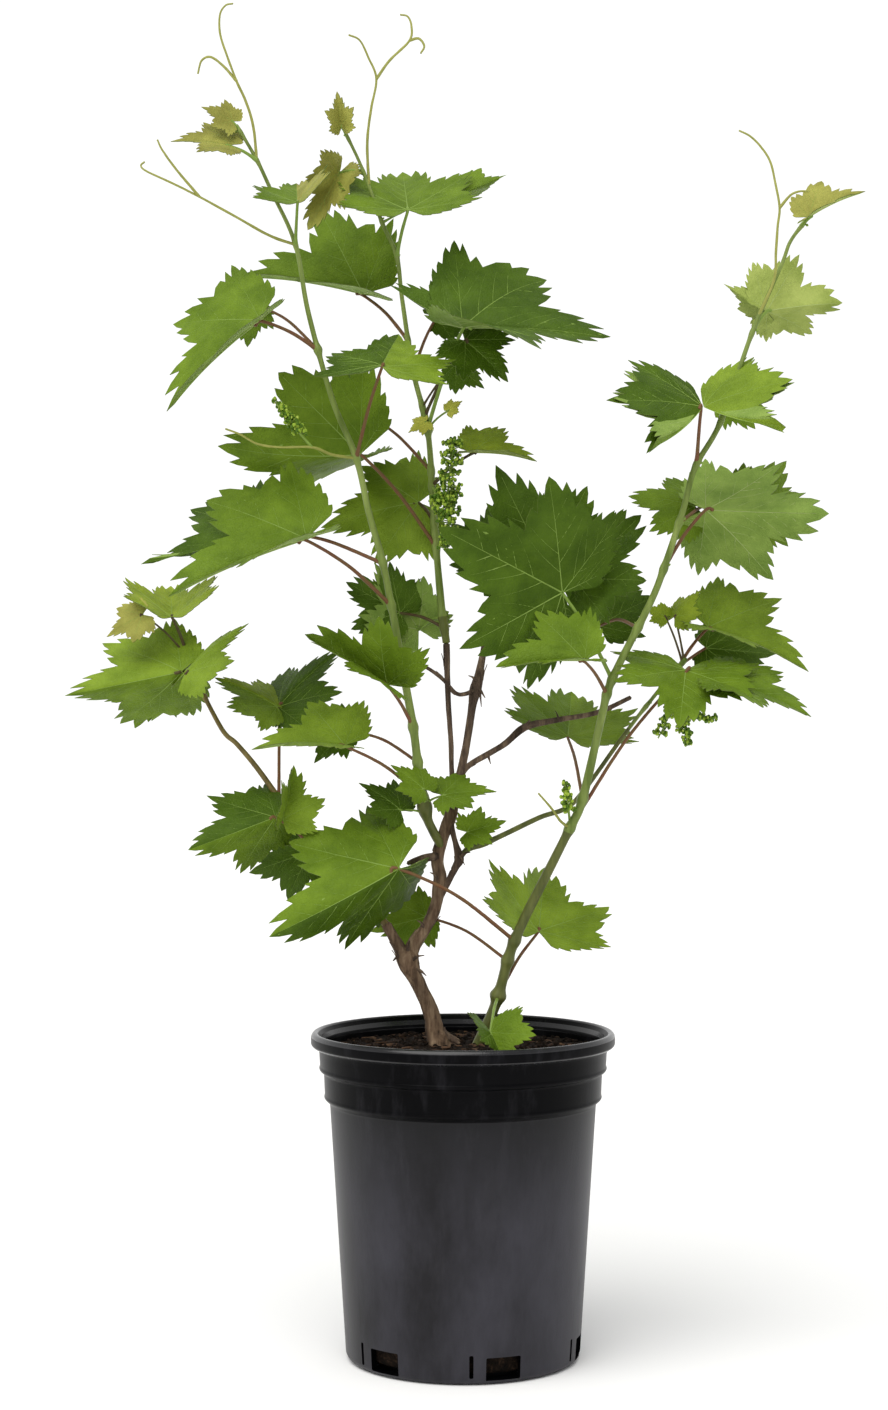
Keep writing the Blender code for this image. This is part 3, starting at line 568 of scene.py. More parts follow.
# Snags of dead bark: foot and tip in the front view with their depth, and the radius at the foot
SNAGS = (
    ((-27, 210, -2), (-20, 206, -4), 1.1), ((-28, 214, -3), (-21, 217, -7), 0.9),
    ((-33, 217, -2), (-38, 214, -5), 1.2), ((-30, 219, -3), (-29, 225, -8), 1.0),
    ((-21, 232, 0), (-25, 236, -3), 0.9), ((-13, 258, 1), (-18, 262, -2), 1.0),
    ((-2, 270, -1), (4, 273, -3), 0.9), ((-3, 272, -1), (1, 266, -4), 0.7),
    ((7, 363, 5), (12, 357, 2), 1.0), ((8, 365, 5), (3, 369, 1), 0.9), ((9, 361, 5), (10, 352, 2), 0.7),
    ((-5, 308, -1), (-9, 313, -4), 0.9), ((-2, 314, 0), (2, 309, -3), 0.7),
    ((13, 326, 4), (15, 321, 2), 0.9), ((34, 341, 8), (37, 345, 6), 0.8), ((52, 345, 10), (50, 350, 8), 0.6),
)

# Green canes: places seen on the front plane with their depth, the radius at foot and tip, and the
# height up to which the skin is ripe, and its look there
CANES = {
    "left": Cane((
        (-12, 277, 1.5), (-16.5, 285, -3.5), (-20, 294, -7), (-24, 318, -12), (-27, 341, -14),
        (-34, 380, -16), (-43, 428, -18), (-51, 457, -19), (-58, 487, -20), (-71, 519, -19), (-84, 566, -15),
        (-91, 603, -10), (-104, 632, -7), (-112, 649, -6), (-123, 668, -4),
    ), 2.5, 0.9, 300),
    "middle": Cane((
        (-9, 387, 4), (-12, 410, 6), (-16, 457, 10), (-19, 501, 14), (-27, 534, 16),
        (-33, 573, 16), (-36, 597, 14), (-44, 615, 12), (-55, 645, 8), (-65, 666, 5),
    ), 2.1, 0.8, 400),
    "low_left": Cane((
        (-42, 234, -3), (-64, 258, 2), (-78, 272, 6), (-91, 288, 11), (-100, 302, 15),
        (-112, 319, 19), (-123, 332, 22), (-131, 340, 24), (-145, 367, 28), (-150, 381, 30),
    ), 2.1, 1.0, 362, "cane_brown"),
    "right": Cane((
        (6, 164, 0), (16, 186, -1), (20, 198, -2), (28, 225, -5), (44, 258, -10), (58, 286, -15),
        (65, 302, -17), (75, 345, -21), (81, 367, -22), (101, 407, -25), (109, 427, -26),
        (119, 457, -26), (126, 482, -25), (140, 507, -23), (157, 555, -19), (173, 592, -15),
        (178, 605, -14), (187, 617, -12),
    ), 3.0, 0.9, 284),
    "side": Cane((
        (-2, 269.5, 2), (3, 275, 4), (12, 278, 7), (23, 283, 12), (42, 292, 20), (56, 297, 24),
        (66, 307, 25), (87, 336, 20), (100, 353, 16), (121, 378, 12),
    ), 1.5, 0.9, 340),
}

# The masses of foliage on each cane, and the bare lengths between them
MASSES = {
    "left": (
        "leaves_left_low", "leaves_left_mid", "leaves_left_high", "leaves_left_upper", "leaves_left_tip",
    ),
    "middle": ("leaves_middle_low", "leaves_middle", "leaves_middle_high", "leaves_middle_tip"),
    "low_left": ("leaves_low_left", "leaves_low_left_mid", "leaves_low_left_tip"),
    "right": (
        "leaves_right_foot", "leaves_right_low", "leaves_right_mid", "leaves_right_high",
        "leaves_right_upper", "leaves_right_tip",
    ),
    "side": ("leaves_inner", "leaves_side"),
}
BARE = {
    "left": ("cane_left",), "middle": (), "low_left": ("cane_low_left",),
    "right": ("cane_right_foot", "cane_right"), "side": ("cane_side",),
}

# The leaves of each cane: height of the foot on the cane, place of the blade's junction, heading of
# the midrib in the front view, lean of its tip towards the viewer, length, the turn of the left and
# right half blades towards the viewer, which grows by twist to the tip, the tone of the blade or of its
# left and right halves, and of its stalk. The tones deep, mid, lit and fresh are painted shade and
# painted light, set for how each leaf and each half of a folded blade stands to the light; fresh is
# also a young leaf's lighter green, and bronze and pale are young leaves' own colours. With an empty
# stalk the blade grows on the one before it; under shows the pale side, and plain is a young leaf's
# simpler outline
LEAVES = {
    "left": (
        Leaf(303, (-64, 331, -32), 174, -10, 50, 92, -40, "lit"),
        Leaf(341, (-41, 364, -30), 146, 10, 52, 92, 46, "mid"),
        Leaf(297, (-21, 307, -22), 138, 0, 22, 50, -45, "mid", "green"),
        Leaf(299, (-11, 304, -14), 12, 0, 28, -50, 62, "mid", "green"),
        Leaf(294, (-34, 296, -14), 140, 0, 26, 50, -45, "deep", "green"),
        Leaf(322, (-62, 339, 30), 185, -20, 32, 50, 50, "deep", plain=True),
        Leaf(407, (-85, 443, -36), 197, 4, 80, 97, -36, "mid"),
        Leaf(430, (-110, 447, 8), 198, -6, 66, -75, -50, "deep"),
        Leaf(487, (-44, 537, -54), 64, -67, 53, -36, 16, "deep/lit", droop=0.02),
        Leaf(546, (-110, 562, -26), 217, 0, 70, 98, -44, "mid"),
        Leaf(546, (-112, 570, 30), 215, -10, 30, 45, 45, "mid", plain=True),
        Leaf(603, (-90, 626, -27), 92, -74, 36, 12, 44, "mid/bronze", "green", droop=0),
        Leaf(649, (-127, 657, -10), 167, 0, 30, 80, -54, "bronze", "green"),
        Leaf(664, (-125, 670, -5), 148, 5, 18, 50, -40, "bronze", "green"),
    ),
    "middle": (
        Leaf(395, (-34, 403, 20), 150, 0, 34, 35, 30, "deep", "dark"),
        Leaf(401, (-24, 394, 24), 122, 0, 42, 25, 42, "deep", "green", under=True),
        Leaf(439, (-56, 489, 4), 184, 0, 76, -80, 8, "mid", twist=34),
        Leaf(452, (-24, 463, 26), 188, 0, 52, 36, -36, "lit", "dark"),
        Leaf(472, (5, 490, -4), 2, 0, 35, -48, 98, "fresh", "dark"),
        Leaf(503, (-20, 507, 10), 205, 10, 11, 40, -45, "pale", "green", plain=True),
        Leaf(503, (-8, 513, 6), 40, 10, 9, -40, 45, "pale", "green", plain=True),
        Leaf(446, (18, 428, 56), 88, -20, 42, 25, 25, "deep", plain=True),
        Leaf(480, (-54, 512, 40), 165, -15, 36, 35, 35, "deep", plain=True),
        Leaf(503, (0, 558, -16), 1, 4, 80, -36, 100, "deep", "green", twist=-34, droop=0.1),
        Leaf(503, (-2, 559, -11), 154, 0, 44, -84, -24, "deep", ""),
        Leaf(510, (1, 551, -12), 322, 20, 32, -30, 46, "deep", "dark"),
        Leaf(515, (-4, 538, -6), 320, 0, 20, 20, 20, "deep", "dark"),
        Leaf(551, (-54, 576, 42), 165, 0, 66, 98, -16, "mid"),
        Leaf(534, (-14, 564, 46), 20, -20, 40, 55, 55, "deep", plain=True),
        Leaf(597, (-30, 622, 2), 97, -66, 56, 16, 4, "mid", "green", droop=0),
        Leaf(642, (-67, 642, 25), 240, 10, 34, 68, 58, "bronze", "green"),
        Leaf(661, (-66, 667, 4), 97, 0, 19, 60, 58, "bronze", "green"),
        Leaf(615, (1, 632, 27), 20, 0, 24, -46, -68, "mid", "green"),
    ),
    "low_left": (
        Leaf(272, (-102, 292, -6), 201, 5, 50, -54, -50, "mid/deep", twist=24),
        Leaf(268, (-74, 276, 18), 168, 0, 24, 60, -55, "mid", "dark"),
        Leaf(276, (-98, 291, -14), 74, -10, 30, 84, 24, "lit", ""),
        Leaf(282, (-82, 274, 40), 200, -15, 38, 40, 45, "deep", plain=True),
        Leaf(302, (-100, 352, 26), 50, -10, 46, -62, 58, "deep"),
        Leaf(302, (-101, 352, 24), 148, -10, 38, 62, -64, "lit/fresh", ""),
        Leaf(371, (-153, 371, 14), 192, 5, 64, -52, -46, "mid/lit", "dark"),
        Leaf(374, (-151, 370, 10), 48, 0, 42, -82, 64, "lit", "dark"),
        Leaf(380, (-158, 401, 22), 92, -70, 44, 30, 34, "fresh", "dark", droop=0),
        Leaf(379, (-174, 402, 16), 205, 0, 22, 40, -40, "bronze", "dark"),
        Leaf(358, (-160, 368, 62), 195, -15, 42, 45, 55, "mid", plain=True),
    ),
    "right": (
        Leaf(194, (15, 175, -50), 297, 40, 32, 16, 80, "mid/deep", "green"),
        Leaf(196, (41, 230, 12), 84, -52, 56, 35, -5, "lit", droop=0),
        Leaf(225, (-35, 264, -40), 210, 5, 78, -66, -38, "deep/mid", "red", twist=24),
        Leaf(214, (-20, 238, 42), 195, -10, 32, 40, 40, "mid", plain=True),
        Leaf(302, (57, 336, 54), 85, -62, 54, 22, 4, "mid/lit", droop=0),
        Leaf(286, (121, 372, -12), 264, 66, 57, 12, 14, "mid"),
        Leaf(367, (54, 414, -22), 152, 32, 78, 14, 12, "deep", "green"),
        Leaf(378, (61, 421, 6), 45, 0, 50, 34, 40, "deep", ""),
        Leaf(370, (46, 426, -12), 116, 10, 60, 16, 14, "deep", ""),
        Leaf(359, (66, 377, -46), 178, 5, 48, 96, -26, "mid"),
        Leaf(395, (74, 396, 40), 75, -20, 42, 30, 30, "deep", plain=True),
        Leaf(427, (132, 459, -8), 357, 5, 66, -60, -46, "mid", under=True),
        Leaf(431, (126, 461, 6), 164, 0, 36, 40, -54, "mid", ""),
        Leaf(452, (148, 462, 50), 0, -25, 46, 45, 45, "mid", plain=True),
        Leaf(484, (130, 515, -36), 236, 60, 66, -160, 0, "mid/deep"),
        Leaf(484, (131, 515, -34), 335, 48, 60, -25, -135, "lit", ""),
        Leaf(507, (141, 519, 26), 0, -20, 30, 40, 40, "mid", "green", plain=True),
        Leaf(555, (165, 567, -10), 10, 0, 41, -18, -62, "fresh", "green", under=True),
        Leaf(555, (165, 567, -9), 150, 0, 27, -58, -34, "under_fresh", ""),
        Leaf(613, (188, 618, -12), 33, 0, 32, -40, 97, "bronze", "green", plain=True),
    ),
    "side": (
        Leaf(277, (2, 284, -3), 16, 0, 22, 45, 50, "mid", "green"),
        Leaf(372, (133, 395, 20), 345, 5, 57, -40, 92, "lit"),
        Leaf(366, (141, 366, -20), 346, 5, 51, -60, 84, "mid"),
        Leaf(377, (115, 401, 14), 52, 0, 20, -62, 40, "fresh", "dark"),
        Leaf(376, (110, 401, 16), 150, 0, 12, 35, -35, "fresh", "dark"),
        Leaf(352, (132, 384, 60), 355, -20, 42, 50, 50, "deep", plain=True),
    ),
}

# Tendrils: places along each, from its foot to its curled tip
TENDRILS = (
    ((-112, 649, -6), (-114, 668, -8), (-118, 681, -10), (-123, 692, -12), (-129, 708, -14),
     (-132, 718, -15), (-132, 728, -16), (-129, 733, -17), (-125, 734, -18)),
    ((-123, 692, -12), (-130, 700, -10), (-137, 705, -9), (-142, 703, -9), (-144, 696, -10)),
    ((-91, 603, -10), (-105, 608, -12), (-123, 618, -14), (-143, 629, -16), (-159, 637, -16),
     (-172, 643, -15), (-175, 646, -14), (-173, 648, -13)),
    ((-143, 629, -16), (-155, 643, -20), (-163, 654, -22), (-166, 660, -22)),
    ((-51, 636, 9), (-52, 658, 8), (-50, 676, 6), (-47, 693, 5), (-51, 704, 3),
     (-56, 714, 0), (-62, 717, -2)),
    ((-47, 693, 5), (-40, 703, 6), (-29, 714, 8), (-28, 722, 9), (-30, 727, 10), (-34, 728, 11)),
    ((-29, 714, 8), (-24, 715, 6), (-21, 711, 5), (-23, 707, 4)),
    ((160, 563, -18), (169, 584, -21), (170, 598, -22), (171, 613, -23), (172, 623, -23),
     (170, 635, -22), (167, 648, -20), (162, 656, -18), (156, 662, -16), (150, 665, -14)),
    ((172, 623, -23), (178, 630, -25), (183, 632, -26), (188, 632, -26)),
    ((-58, 487, -20), (-71, 489, -26), (-82, 493, -30), (-100, 493, -32), (-112, 495, -33),
     (-121, 500, -33), (-129, 503, -32)),
    ((58, 286, -15), (53, 290, -22), (48, 297, -26), (41, 305, -28)),
)

# Flower clusters: stalk from the cane, number of groups of buds, and how far they stand off the stalk
CLUSTERS = (
    (((-17, 472, 12), (-10, 462, -8), (-7, 480, -12), (-5, 498, -12)), 70, 10.0),
    (((-17, 472, 12), (-10, 464, -8), (-8, 452, -12), (-10, 437, -12)), 66, 9.0),
    (((-82, 493, -30), (-88, 500, -31), (-96, 511, -32), (-101, 518, -32)), 34, 4.0),
    (((58, 290, -15), (57, 299, -24), (56, 307, -26), (55, 312, -26)), 16, 3.4),
    (((113, 366, 15), (113, 354, -8), (110, 343, -14), (106, 335, -16)), 28, 6.0),
    (((113, 362, 2), (118, 350, -8), (121, 340, -12), (122, 331, -12)), 28, 6.0),
    (((113, 360, 2), (122, 351, -8), (131, 345, -12), (138, 347, -12)), 26, 5.0),
)


class BladeKind:
    """The flat pattern of a blade at length 1: a toothed outline, a net of veins and its relief."""

    def __init__(self, seed, outline, teeth, rings):
        dice = random.Random(seed)
        left = self.half_margin(outline, teeth, dice)
        right = self.half_margin(outline, teeth, dice)
        rows = np.array([(-angle, edge, mean) for angle, edge, mean in right[:0:-1]] + left)
        self.angles = np.radians(rows[:, 0])
        self.margin = rows[:, 1]
        mean = rows[:, 2]
        share = (np.arange(1, rings + 1) / rings)[:, None] ** 0.9
        reach = share * mean + share ** 4 * (self.margin - mean)
        self.along = reach * np.cos(self.angles)
        self.across = reach * np.sin(self.angles)
        self.veins = self.grow_veins(dice)
        self.relief = self.blisters(self.along, self.across)
        self.lay_ridges()

    def half_margin(self, outline, teeth, dice):
        """Angle, toothed edge and mean edge from the tip round to the stalk: teeth lean to the lobes."""
        angles, edges = zip(*outline)
        play = [edge * dice.uniform(0.97, 1.03) for edge in edges[1:-1]]
        edges = [1.0, *play, edges[-1]]
        tips = [tooth + (0 if tooth in LOBE_TIPS else dice.uniform(-1, 1)) for tooth in teeth]
        rows = []
        for number, tip in enumerate(tips):
            after = tips[number + 1] if number + 1 < len(tips) else outline[-1][0]
            lobe = min(LOBE_TIPS, key=lambda angle: abs(angle - (tip + after) / 2))
            falling = lobe <= tip
            notch = tip + (after - tip) * (dice.uniform(0.62, 0.76) if falling else dice.uniform(0.24, 0.38))
            top = np.interp(tip, angles, edges) * dice.uniform(1.0, 1.05)
            low = np.interp(notch, angles, edges) * dice.uniform(0.87, 0.93)
            high = np.interp(after, angles, edges) * 1.02
            middle = (tip + notch) / 2, (top + low) / 2 + TOOTH_BULGE
            if not falling:
                middle = (notch + after) / 2, (low + high) / 2 + TOOTH_BULGE
            rows += [(tip, top), middle, (notch, low)] if falling else [(tip, top), (notch, low), middle]
        return [(angle, edge, np.interp(angle, angles, edges) * 0.95) for angle, edge in rows]

    def edge_at(self, angle):
        return float(np.interp(angle, self.angles, self.margin))

    def grow_veins(self, dice):
        """Main veins to the lobes, and side veins that leave them towards the margin."""
        veins = []
        for heading, length in MAIN_VEINS:
            turn = math.radians(heading)
            way = np.array((math.cos(turn), math.sin(turn)))
            line = way * length * np.linspace(0.01, 1, 12)[:, None]
            veins.append((line, LOBE_VEIN_WIDTH if heading else MIDRIB_WIDTH))
            place = FIRST_SIDE_VEIN
            side = 1
            while place < LAST_SIDE_VEIN:
                veins.append((self.side_vein(line, place, heading, side, dice), SIDE_VEIN_WIDTH))
                place += dice.uniform(0.065, 0.085) if heading == 0 else dice.uniform(0.085, 0.115)
                side = -side
        return [vein for vein in veins if len(vein[0]) > 2]

    def side_vein(self, line, place, heading, side, dice):
        """A side vein, stopped short of the margin and of the middle of the gap to the next vein."""
        start = np.array([np.interp(place, np.linspace(0, 1, len(line)), line[:, axis]) for axis in (0, 1)])
        turn = math.radians(heading + side * dice.uniform(40, 50))
        gaps = [abs(heading - other) for other, _ in MAIN_VEINS if (other - heading) * side > 0]
        inner = min(gaps, default=40)
        points = [start]
        while len(points) < SIDE_VEIN_POINTS:
            turn -= side * SIDE_VEIN_BEND
            step = points[-1] + np.array((math.cos(turn), math.sin(turn))) * SIDE_VEIN_STEP
            angle = math.atan2(step[1], step[0])
            if np.hypot(*step) > 0.9 * self.edge_at(angle):
                break
            if abs(math.degrees(angle) - heading) > inner * 0.55:
                break
            points.append(step)
        return np.array(points)

    def blisters(self, along, across):
        """Height of the blade between its veins, as a share of the leaf's length."""
        places = np.stack((along, across), -1)
        nearest = np.full(along.shape, 1.0)
        nearest_main = np.full(along.shape, 1.0)
        for line, width in self.veins:
            for start, end in zip(line, line[1:]):
                way = end - start
                share = np.clip((places - start) @ way / (way @ way), 0, 1)
                gap = np.linalg.norm(places - start - share[..., None] * way, axis=-1)
                nearest = np.minimum(nearest, gap)
                if width > SIDE_VEIN_WIDTH:
                    nearest_main = np.minimum(nearest_main, gap)
        pleat = PLEAT * (1 - np.exp(-((nearest_main / PLEAT_WIDTH) ** 2)))
        blister = BLISTER * (1 - np.exp(-((nearest / BLISTER_WIDTH) ** 2)))
        return (pleat + blister) * np.minimum(np.hypot(along, across) / 0.35, 1)

    def pin(self, flat):
        """For flat places: the four nearest points of the mesh and the share of each."""
        angle = np.arctan2(flat[:, 1], flat[:, 0])
        column = np.clip(np.searchsorted(self.angles, angle) - 1, 0, len(self.angles) - 2)
        turn = np.clip((angle - self.angles[column]) / (self.angles[column + 1] - self.angles[column]), 0, 1)
        radii = np.hypot(self.along, self.across)
        rings, columns = radii.shape
        ladder = radii[:, column] * (1 - turn) + radii[:, column + 1] * turn
        radius = np.hypot(flat[:, 0], flat[:, 1])
        ring = np.minimum((ladder < radius).sum(0), rings - 1)
        each = np.arange(len(flat))
        inner = np.where(ring > 0, ladder[ring - 1, each], 0)
        reach = np.clip((radius - inner) / (ladder[ring, each] - inner), 0, 1)
        low = np.where(ring > 0, 1 + (ring - 1) * columns + column, 0)
        high = 1 + ring * columns + column
        points = np.stack((low, np.where(ring > 0, low + 1, 0), high, high + 1), 1)
        shares = ((1 - reach) * (1 - turn), (1 - reach) * turn, reach * (1 - turn), reach * turn)
        return points, np.stack(shares, 1)

    def lay_ridges(self):
        """Three-sided ridges along all veins: flat places, heights as shares of the rise, and faces."""
        flats, heights, faces, total = [], [], [], 0
        for line, width in self.veins:
            count = len(line)
            way = np.gradient(line, axis=0)
            way /= np.linalg.norm(way, axis=1)[:, None]
            normal = np.stack((-way[:, 1], way[:, 0]), 1)
            taper = np.linspace(1, 0.3, count)[:, None]
            sides = [line + normal * width * taper * offset for offset in (-1, 0, 1)]
            flats.append(np.stack(sides, 1).reshape(-1, 2))
            low = np.full(count, -1.0)
            heights.append(np.stack((low, taper[:, 0] * width / SIDE_VEIN_WIDTH, low), 1).ravel())
            last = (count - 1) * 3
            ends = ((0, 1, 2, 2), (last + 2, last + 1, last, last))
            faces.append(np.vstack((ring_faces(count, 3), ends)) + total)
            total += count * 3
        self.ridge_points, self.ridge_shares = self.pin(np.vstack(flats))
        self.ridge_heights = np.concatenate(heights)
        self.ridge_faces = np.vstack(faces)


class Blade:
    """A folded leaf blade: it turns flat places on the leaf into places on the plant."""

    def __init__(self, leaf, dice):
        heading = math.radians(leaf.heading)
        lean = math.radians(leaf.lean)
        along = np.array((math.cos(heading), 0, math.sin(heading)))
        self.midrib = along * math.cos(lean) + np.array((0, -1, 0)) * math.sin(lean)
        self.side = np.array((-math.sin(heading), 0, math.cos(heading)))
        self.facing = np.cross(self.midrib, self.side)
        self.leaf = leaf
        self.sign = -1 if leaf.under else 1
        self.waves = [
            (dice.uniform(0.5, 1) * size, number, dice.uniform(0, FULL_TURN)) for size, number in WAVES
        ]
        self.curl = dice.uniform(0.02, 0.08)

    def half(self, along, turn, side):
        """Side and facing shares and the upward direction of the left half, side 1, or right half, -1."""
        turn = np.radians(turn + self.leaf.twist * along)
        out = side * np.cos(turn)[..., None] * self.side + np.sin(turn)[..., None] * self.facing
        return np.cos(turn), np.sin(turn), side * np.cross(self.midrib, out)

    def place(self, along, across, lift):
        """Places for flat places as shares of the length, lifted by a share of the length."""
        along, across, lift = np.broadcast_arrays(along, across, lift)
        cos_left, sin_left, up_left = self.half(along, self.leaf.left, 1)
        cos_right, sin_right, up_right = self.half(along, self.leaf.right, -1)
        is_left = across >= 0
        upward, bending = [], []
        for width, ways in ((2 * FOLD_ROUND, upward), (BEND_ROUND, bending)):
            share = np.clip(across / width + 0.5, 0, 1)[..., None]
            way = up_left * share + up_right * (1 - share)
            ways.append(way / np.maximum(np.linalg.norm(way, axis=-1), 1e-6)[..., None])
        reach = np.abs(across)
        rise = np.sqrt(reach ** 2 + FOLD_ROUND ** 2) - FOLD_ROUND
        sideways = np.where(is_left, cos_left, -cos_right) * reach
        forwards = np.where(is_left, sin_left, sin_right) * rise
        radius = np.hypot(along, across)
        angle = np.arctan2(across, along)
        sink = self.leaf.droop * radius ** 2 + self.curl * np.maximum(along - 0.5, 0) ** 2
        wave = sum(size * np.sin(number * angle + start) for size, number, start in self.waves) * radius ** 2
        ahead = np.where(along < 0, along * REAR_REACH, along)
        offset = (
            self.midrib * ahead[..., None] + self.side * sideways[..., None]
            + self.facing * forwards[..., None] + upward[0] * (lift * self.sign)[..., None]
            + bending[0] * ((wave - sink) * self.sign)[..., None]
        ) * self.leaf.size
        x, z, depth = self.leaf.place
        return seen(np.array((x, depth, z)) + offset)


def add_blade(form, leaf, kind, dice):
    """The blade as a thin closed shell, with raised veins on both of its faces."""
    blade = Blade(leaf, dice)
    half = BLADE_THICKNESS / 2 / leaf.size
    rings, columns = kind.along.shape
    flat = [np.concatenate(([0], values.ravel())) for values in (kind.along, kind.across)]
    relief = np.concatenate(([0], kind.relief.ravel()))
    upper = blade.place(*flat, relief + half)
    lower = blade.place(*flat, relief - half)
    numbers = 1 + np.arange(rings * columns).reshape(rings, columns)
    fan = np.stack((np.zeros(columns - 1, int), numbers[0, :-1], numbers[0, 1:]), 1)
    corners = numbers[:-1, :-1], numbers[1:, :-1], numbers[1:, 1:], numbers[:-1, 1:]
    quads = np.stack([corner.ravel() for corner in corners], 1)
    loop = np.concatenate(([0], numbers[:, 0], numbers[-1, 1:-1], numbers[::-1, -1]))
    after = np.roll(loop, -1)
    count = len(upper)
    rim = np.stack((loop, loop + count, after + count, after), 1)
    # Painted shade and light: a tone written as two gives each half of the folded blade its own green,
    # darker for the half in shade and lighter for the lit half.
    left_tone, _, right_tone = leaf.tone.partition("/")
    is_left = kind.angles[:-1] + kind.angles[1:] > 0
    top = np.where(is_left, left_tone, right_tone or left_tone)
    bottom = "under_fresh" if leaf.tone in ("fresh", "bronze", "pale") else "under"
    turn = blade.sign
    form.add(
        np.vstack((upper, lower)), (fan[:, ::turn], top), (quads[:, ::turn], np.tile(top, rings - 1)),
        (fan[:, ::-turn] + count, bottom), (quads[:, ::-turn] + count, bottom), (rim[:, ::turn], "edge"),
    )
    outward = (blade.place(*flat, relief + half + LIFT_STEP) - upper) / LIFT_STEP
    heights = np.where(kind.ridge_heights > 0, kind.ridge_heights * VEIN_RISE, -VEIN_SUNK)
    for face, surface, look in ((1, upper, "vein"), (-1, lower, "vein_pale")):
        ground, lift = (
            (values[kind.ridge_points] * kind.ridge_shares[..., None]).sum(1) for values in (surface, outward)
        )
        form.add(ground + lift * (face * heights)[:, None], (kind.ridge_faces[:, ::face * turn], look))


def cane_rows(cane):
    """The cane's line as rows of x, depth and z in the front view."""
    return curve(cane.route, 8)


def on_cane(cane, height):
    """The cane's place at a height, in the front view."""
    rows = cane_rows(cane)
    return np.array([np.interp(height, rows[:, 2], rows[:, axis]) for axis in range(3)])


def add_petiole(form, cane, leaf, dice):
    """The leaf's stalk: out of the cane, up to the blade and a little way under its midrib."""
    blade = Blade(leaf, random.Random(0))
    foot = seen(on_cane(cane, leaf.foot))
    junction, sink = blade.place(np.array((0, PETIOLE_SINK)), np.zeros(2), np.full(2, -0.01))
    reach = np.linalg.norm(junction - foot)
    bend = (foot + junction) / 2 + np.array((0, 0, reach * PETIOLE_ARCH))
    route = even(smooth((foot, bend, junction, sink), 10), 1.2)
    thick = PETIOLE_RADIUS * (0.62 if leaf.size < YOUNG_SIZE else 0.8 + leaf.size / 300)
    share = np.linspace(0, 1, len(route))
    radii = thick * (1 - 0.25 * share + 0.5 * np.exp(-((share * reach / 2.5) ** 2)))
    radii = radii * (1 + 0.25 * np.exp(-(((1 - share) * reach / 3) ** 2)))
    around = np.arange(PETIOLE_SIDES)[None, :]
    relief = 0.05 * rumple(around, share[:, None] * reach / 3, PETIOLE_SIDES, dice.randrange(9999))
    tube(form, route, radii, PETIOLE_SIDES, "stalk_" + leaf.stalk, relief)


def add_cane(form, cane, feet, seed):
    """The whole cane as one limb, swollen at its nodes and finely ribbed."""
    rows = even(cane_rows(cane), CANE_STEP)
    route = seen(rows)
    height = rows[:, 2]
    share = (height - height[0]) / (height[-1] - height[0])
    radii = cane.thick + (cane.thin - cane.thick) * share
    for foot in feet:
        radii = radii * (1 + NODE_SWELL * np.exp(-(((height - foot) / NODE_LENGTH) ** 2)))
    around = np.arange(CANE_SIDES)[None, :]
    length = lengths_along(route)[:, None]
    relief = RIB_DEPTH * np.cos(around * 2 * math.pi * CANE_RIBS / CANE_SIDES + length * 0.01)
    relief = relief + 0.045 * rumple(around * 5 / CANE_SIDES, length / 14, 5, seed)
    names = np.where(height < cane.ripe_to, cane.skin, "cane_green")
    tube(form, route, radii, CANE_SIDES, names.tolist(), relief)


def add_bud(form, cane, leaf, dice):
    """A small pointed bud on the cane by the leaf's foot, on the side away from the leaf."""
    place = on_cane(cane, leaf.foot + 2)
    ahead = seen(on_cane(cane, leaf.foot + 8)) - seen(place)
    outward = np.array((place[0] - leaf.place[0], dice.uniform(-6, 6), 4.0))
    out = outward / max(np.linalg.norm(outward), 1e-3) * -1.0
    thick = cane.thick + (cane.thin - cane.thick) * 0.5
    size = thick * 0.42
    axis = ahead * 0.12 + out
    axis = axis / np.linalg.norm(axis)
    shares = np.linspace(0, 1, 7)
    route = seen(place) + out * thick * 0.7 + axis * shares[:, None] * size * 2.4
    radii = size * np.sin(shares * 2.6 + 0.45) ** 1.2
    tube(form, route, np.maximum(radii, size * 0.08), 9, "stalk_green")


def make_leaves():
    """The foliage, one piece of blades and one of stalks for each cane, and the canes themselves."""
    adults = [BladeKind(seed, HALF_OUTLINE, TEETH, 14) for seed in (3, 5, 8, 13, 17)]
    youngs = [BladeKind(seed, YOUNG_OUTLINE, YOUNG_TEETH, 10) for seed in (21, 34, 55)]
    number = 0
    for name, cane in CANES.items():
        blades = Form()
        stalks = Form()
        wood = Form()
        feet = []
        for leaf in LEAVES[name]:
            number += 1
            dice = random.Random(number * 31)
            kinds = youngs if leaf.plain or leaf.size < YOUNG_SIZE else adults
            add_blade(blades, leaf, kinds[number % len(kinds)], dice)
            if leaf.stalk:
                add_petiole(stalks, cane, leaf, dice)
                add_bud(wood, cane, leaf, dice)
                feet.append(leaf.foot)
        add_cane(wood, cane, feet, number)
        blades.piece(f"{name}_cane_leaves", "foliage", MASSES[name])
        stalks.piece(f"{name}_cane_leaf_stalks", "foliage", MASSES[name])
        wood.piece(f"{name}_cane", "green_cane", MASSES[name] + BARE[name])


def make_tendrils():
    """The tendrils of all canes as one piece."""
    form = Form()
    around = np.arange(TENDRIL_SIDES)[None, :]
    for number, points in enumerate(TENDRILS):
        rows = even(curve(points), 1.0)
        share = np.linspace(0, 1, len(rows))
        radii = TENDRIL_RADIUS - TENDRIL_TAPER * share
        relief = 0.1 * rumple(around, share[:, None] * 20, TENDRIL_SIDES, number)
        tube(form, seen(rows), radii, TENDRIL_SIDES, "tendril", relief)
    form.piece("tendrils", "foliage", ("leaves_left_tip", "leaves_middle_tip", "leaves_right_tip"))


